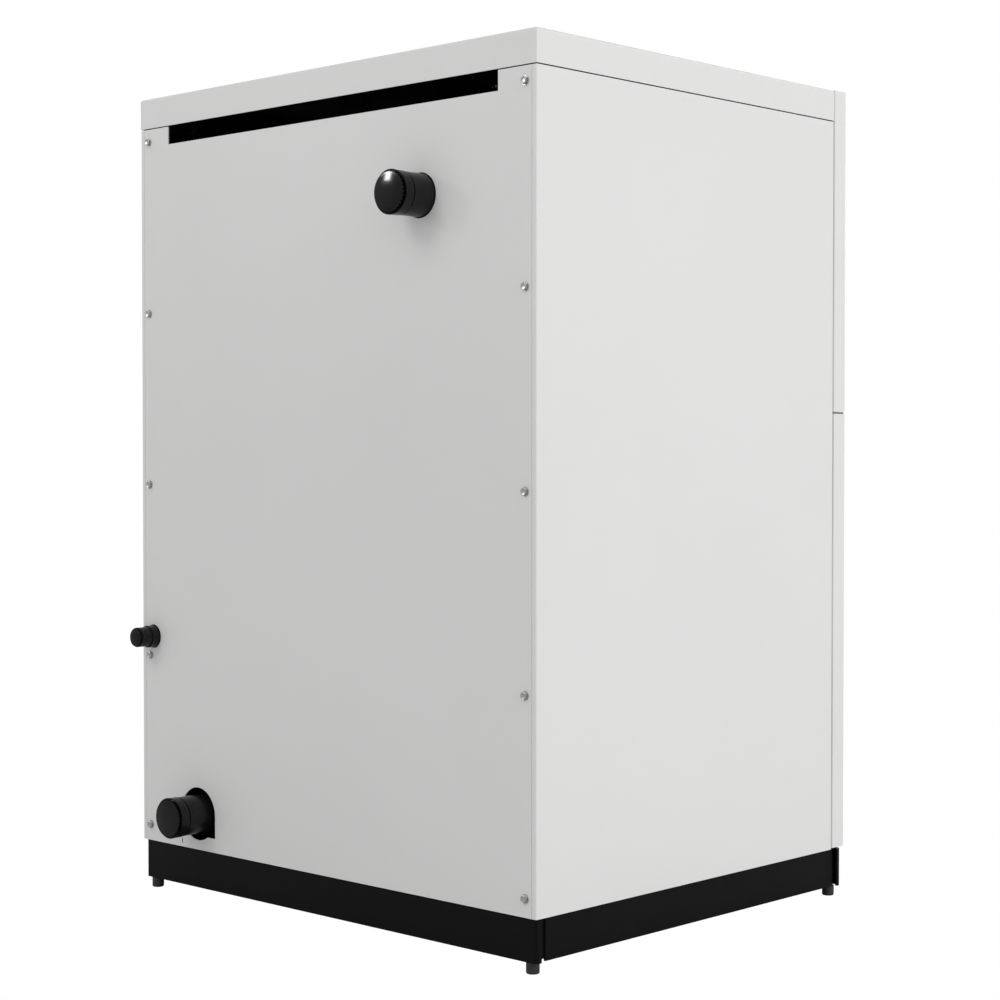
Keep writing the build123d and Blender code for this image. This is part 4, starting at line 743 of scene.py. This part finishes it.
# Gas valve: a die-cast body with a fine shot-blasted skin. Drain cock: turned brass. Leads:
# black rubber. Capillary tubes: drawn copper.
cast_alloy = finish(
    "die_cast_alloy", (0.46, 0.46, 0.46), (0.4, 0.4, 0.4), (0.45, 0.6),
    grain=1500, relief=0.00006, Metallic=0.7,
)
paint_nodes(cast_alloy, "gas_valve")
brass = finish(
    "turned_brass", (0.58, 0.40, 0.14), (0.5, 0.33, 0.11), (0.22, 0.36),
    stretch=(1, 12, 1), Metallic=1.0,
)
paint_nodes(brass, "drain_cock", "drain_lever")
lead_rubber = finish(
    "lead_rubber", (0.014, 0.014, 0.014), (0.02, 0.02, 0.02), (0.55, 0.7), grain=2200
)
paint_nodes(lead_rubber, "control_leads")
copper = finish(
    "drawn_copper", (0.55, 0.26, 0.15), (0.42, 0.19, 0.12), (0.25, 0.4), Metallic=1.0
)
paint_nodes(copper, "capillary_tubes")

# Wool pads: block insulation and the lower door's pad, quilted mineral wool in a woven skin. Each
# is a soft slab whose faces are dimpled by stitching, with its edges drawn in.
wool = finish(
    "woven_glass_cloth", (0.62, 0.58, 0.48), (0.7, 0.66, 0.56), (0.8, 0.95),
    grain=520, relief=0.0006, stretch=(1, 1, 1.6), Sheen_Weight=0.2,
)
paint_nodes(wool, "block_insulation", "lower_door_insulation")
QUILT = 0.06
CUTS = (31, 1)
EDGE_ROUND, EDGE_DRAW = 0.008, 0.5
STITCH_WIDTH, STITCH_DRAW = 0.3, 0.5
PAD, PAD_INSET = 0.016, 0.006


def quilted_pad(low, high, face_axis):
    """A pad between two corners, crowned between its stitches on the faces along face_axis."""
    start_clean()
    middle, size = (low + high) / 2, high - low
    bpy.ops.mesh.primitive_cube_add(size=1, location=middle)
    pad = bpy.context.object
    pad.scale = size
    bpy.ops.object.transform_apply(location=True, rotation=True, scale=True)
    pick(pad, lambda centre, normal: True)
    for cuts in CUTS:
        bpy.ops.mesh.subdivide(number_cuts=cuts)
    bpy.ops.object.mode_set(mode="OBJECT")
    others = [k for k in range(3) if k != face_axis]
    for vertex in pad.data.vertices:
        edge = min(min(vertex.co[k] - low[k], high[k] - vertex.co[k]) for k in others)
        crown = 1 - math.exp(-edge / EDGE_ROUND)
        dimple = 1.0
        for k in others:
            dimple *= abs(math.sin(math.pi * (vertex.co[k] - low[k]) / QUILT)) ** STITCH_WIDTH
        share = (1 - EDGE_DRAW + EDGE_DRAW * crown) * (1 - STITCH_DRAW + STITCH_DRAW * dimple)
        away = vertex.co[face_axis] - middle[face_axis]
        vertex.co[face_axis] = middle[face_axis] + away * share
    return pad


pad_low, pad_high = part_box("lower_door_insulation")
door_pad = settle(
    quilted_pad(pad_low, pad_high, 1), "lower_door_quilt", wool, "lower_door",
    ["lower_door_insulation"],
)
cover_low, cover_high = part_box("block_insulation")
block_low, block_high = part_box("block_middle_sections")
block_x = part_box("block_end_right")[1].x
front_low = Vector((-block_x, cover_low.y, cover_low.z))
front_high = Vector((block_x, cover_low.y + PAD, cover_high.z))
pads = [quilted_pad(front_low, front_high, 1)]
for side in (-1, 1):
    near, far = sorted((side * block_x, side * (block_x + PAD)))
    side_low = Vector((near, block_low.y + PAD_INSET, cover_low.z))
    side_high = Vector((far, block_high.y - PAD_INSET, cover_high.z))
    pads.append(quilted_pad(side_low, side_high, 0))
block_quilt = settle(
    joined(pads), "block_quilt", wool, replaced=["block_insulation"]
)
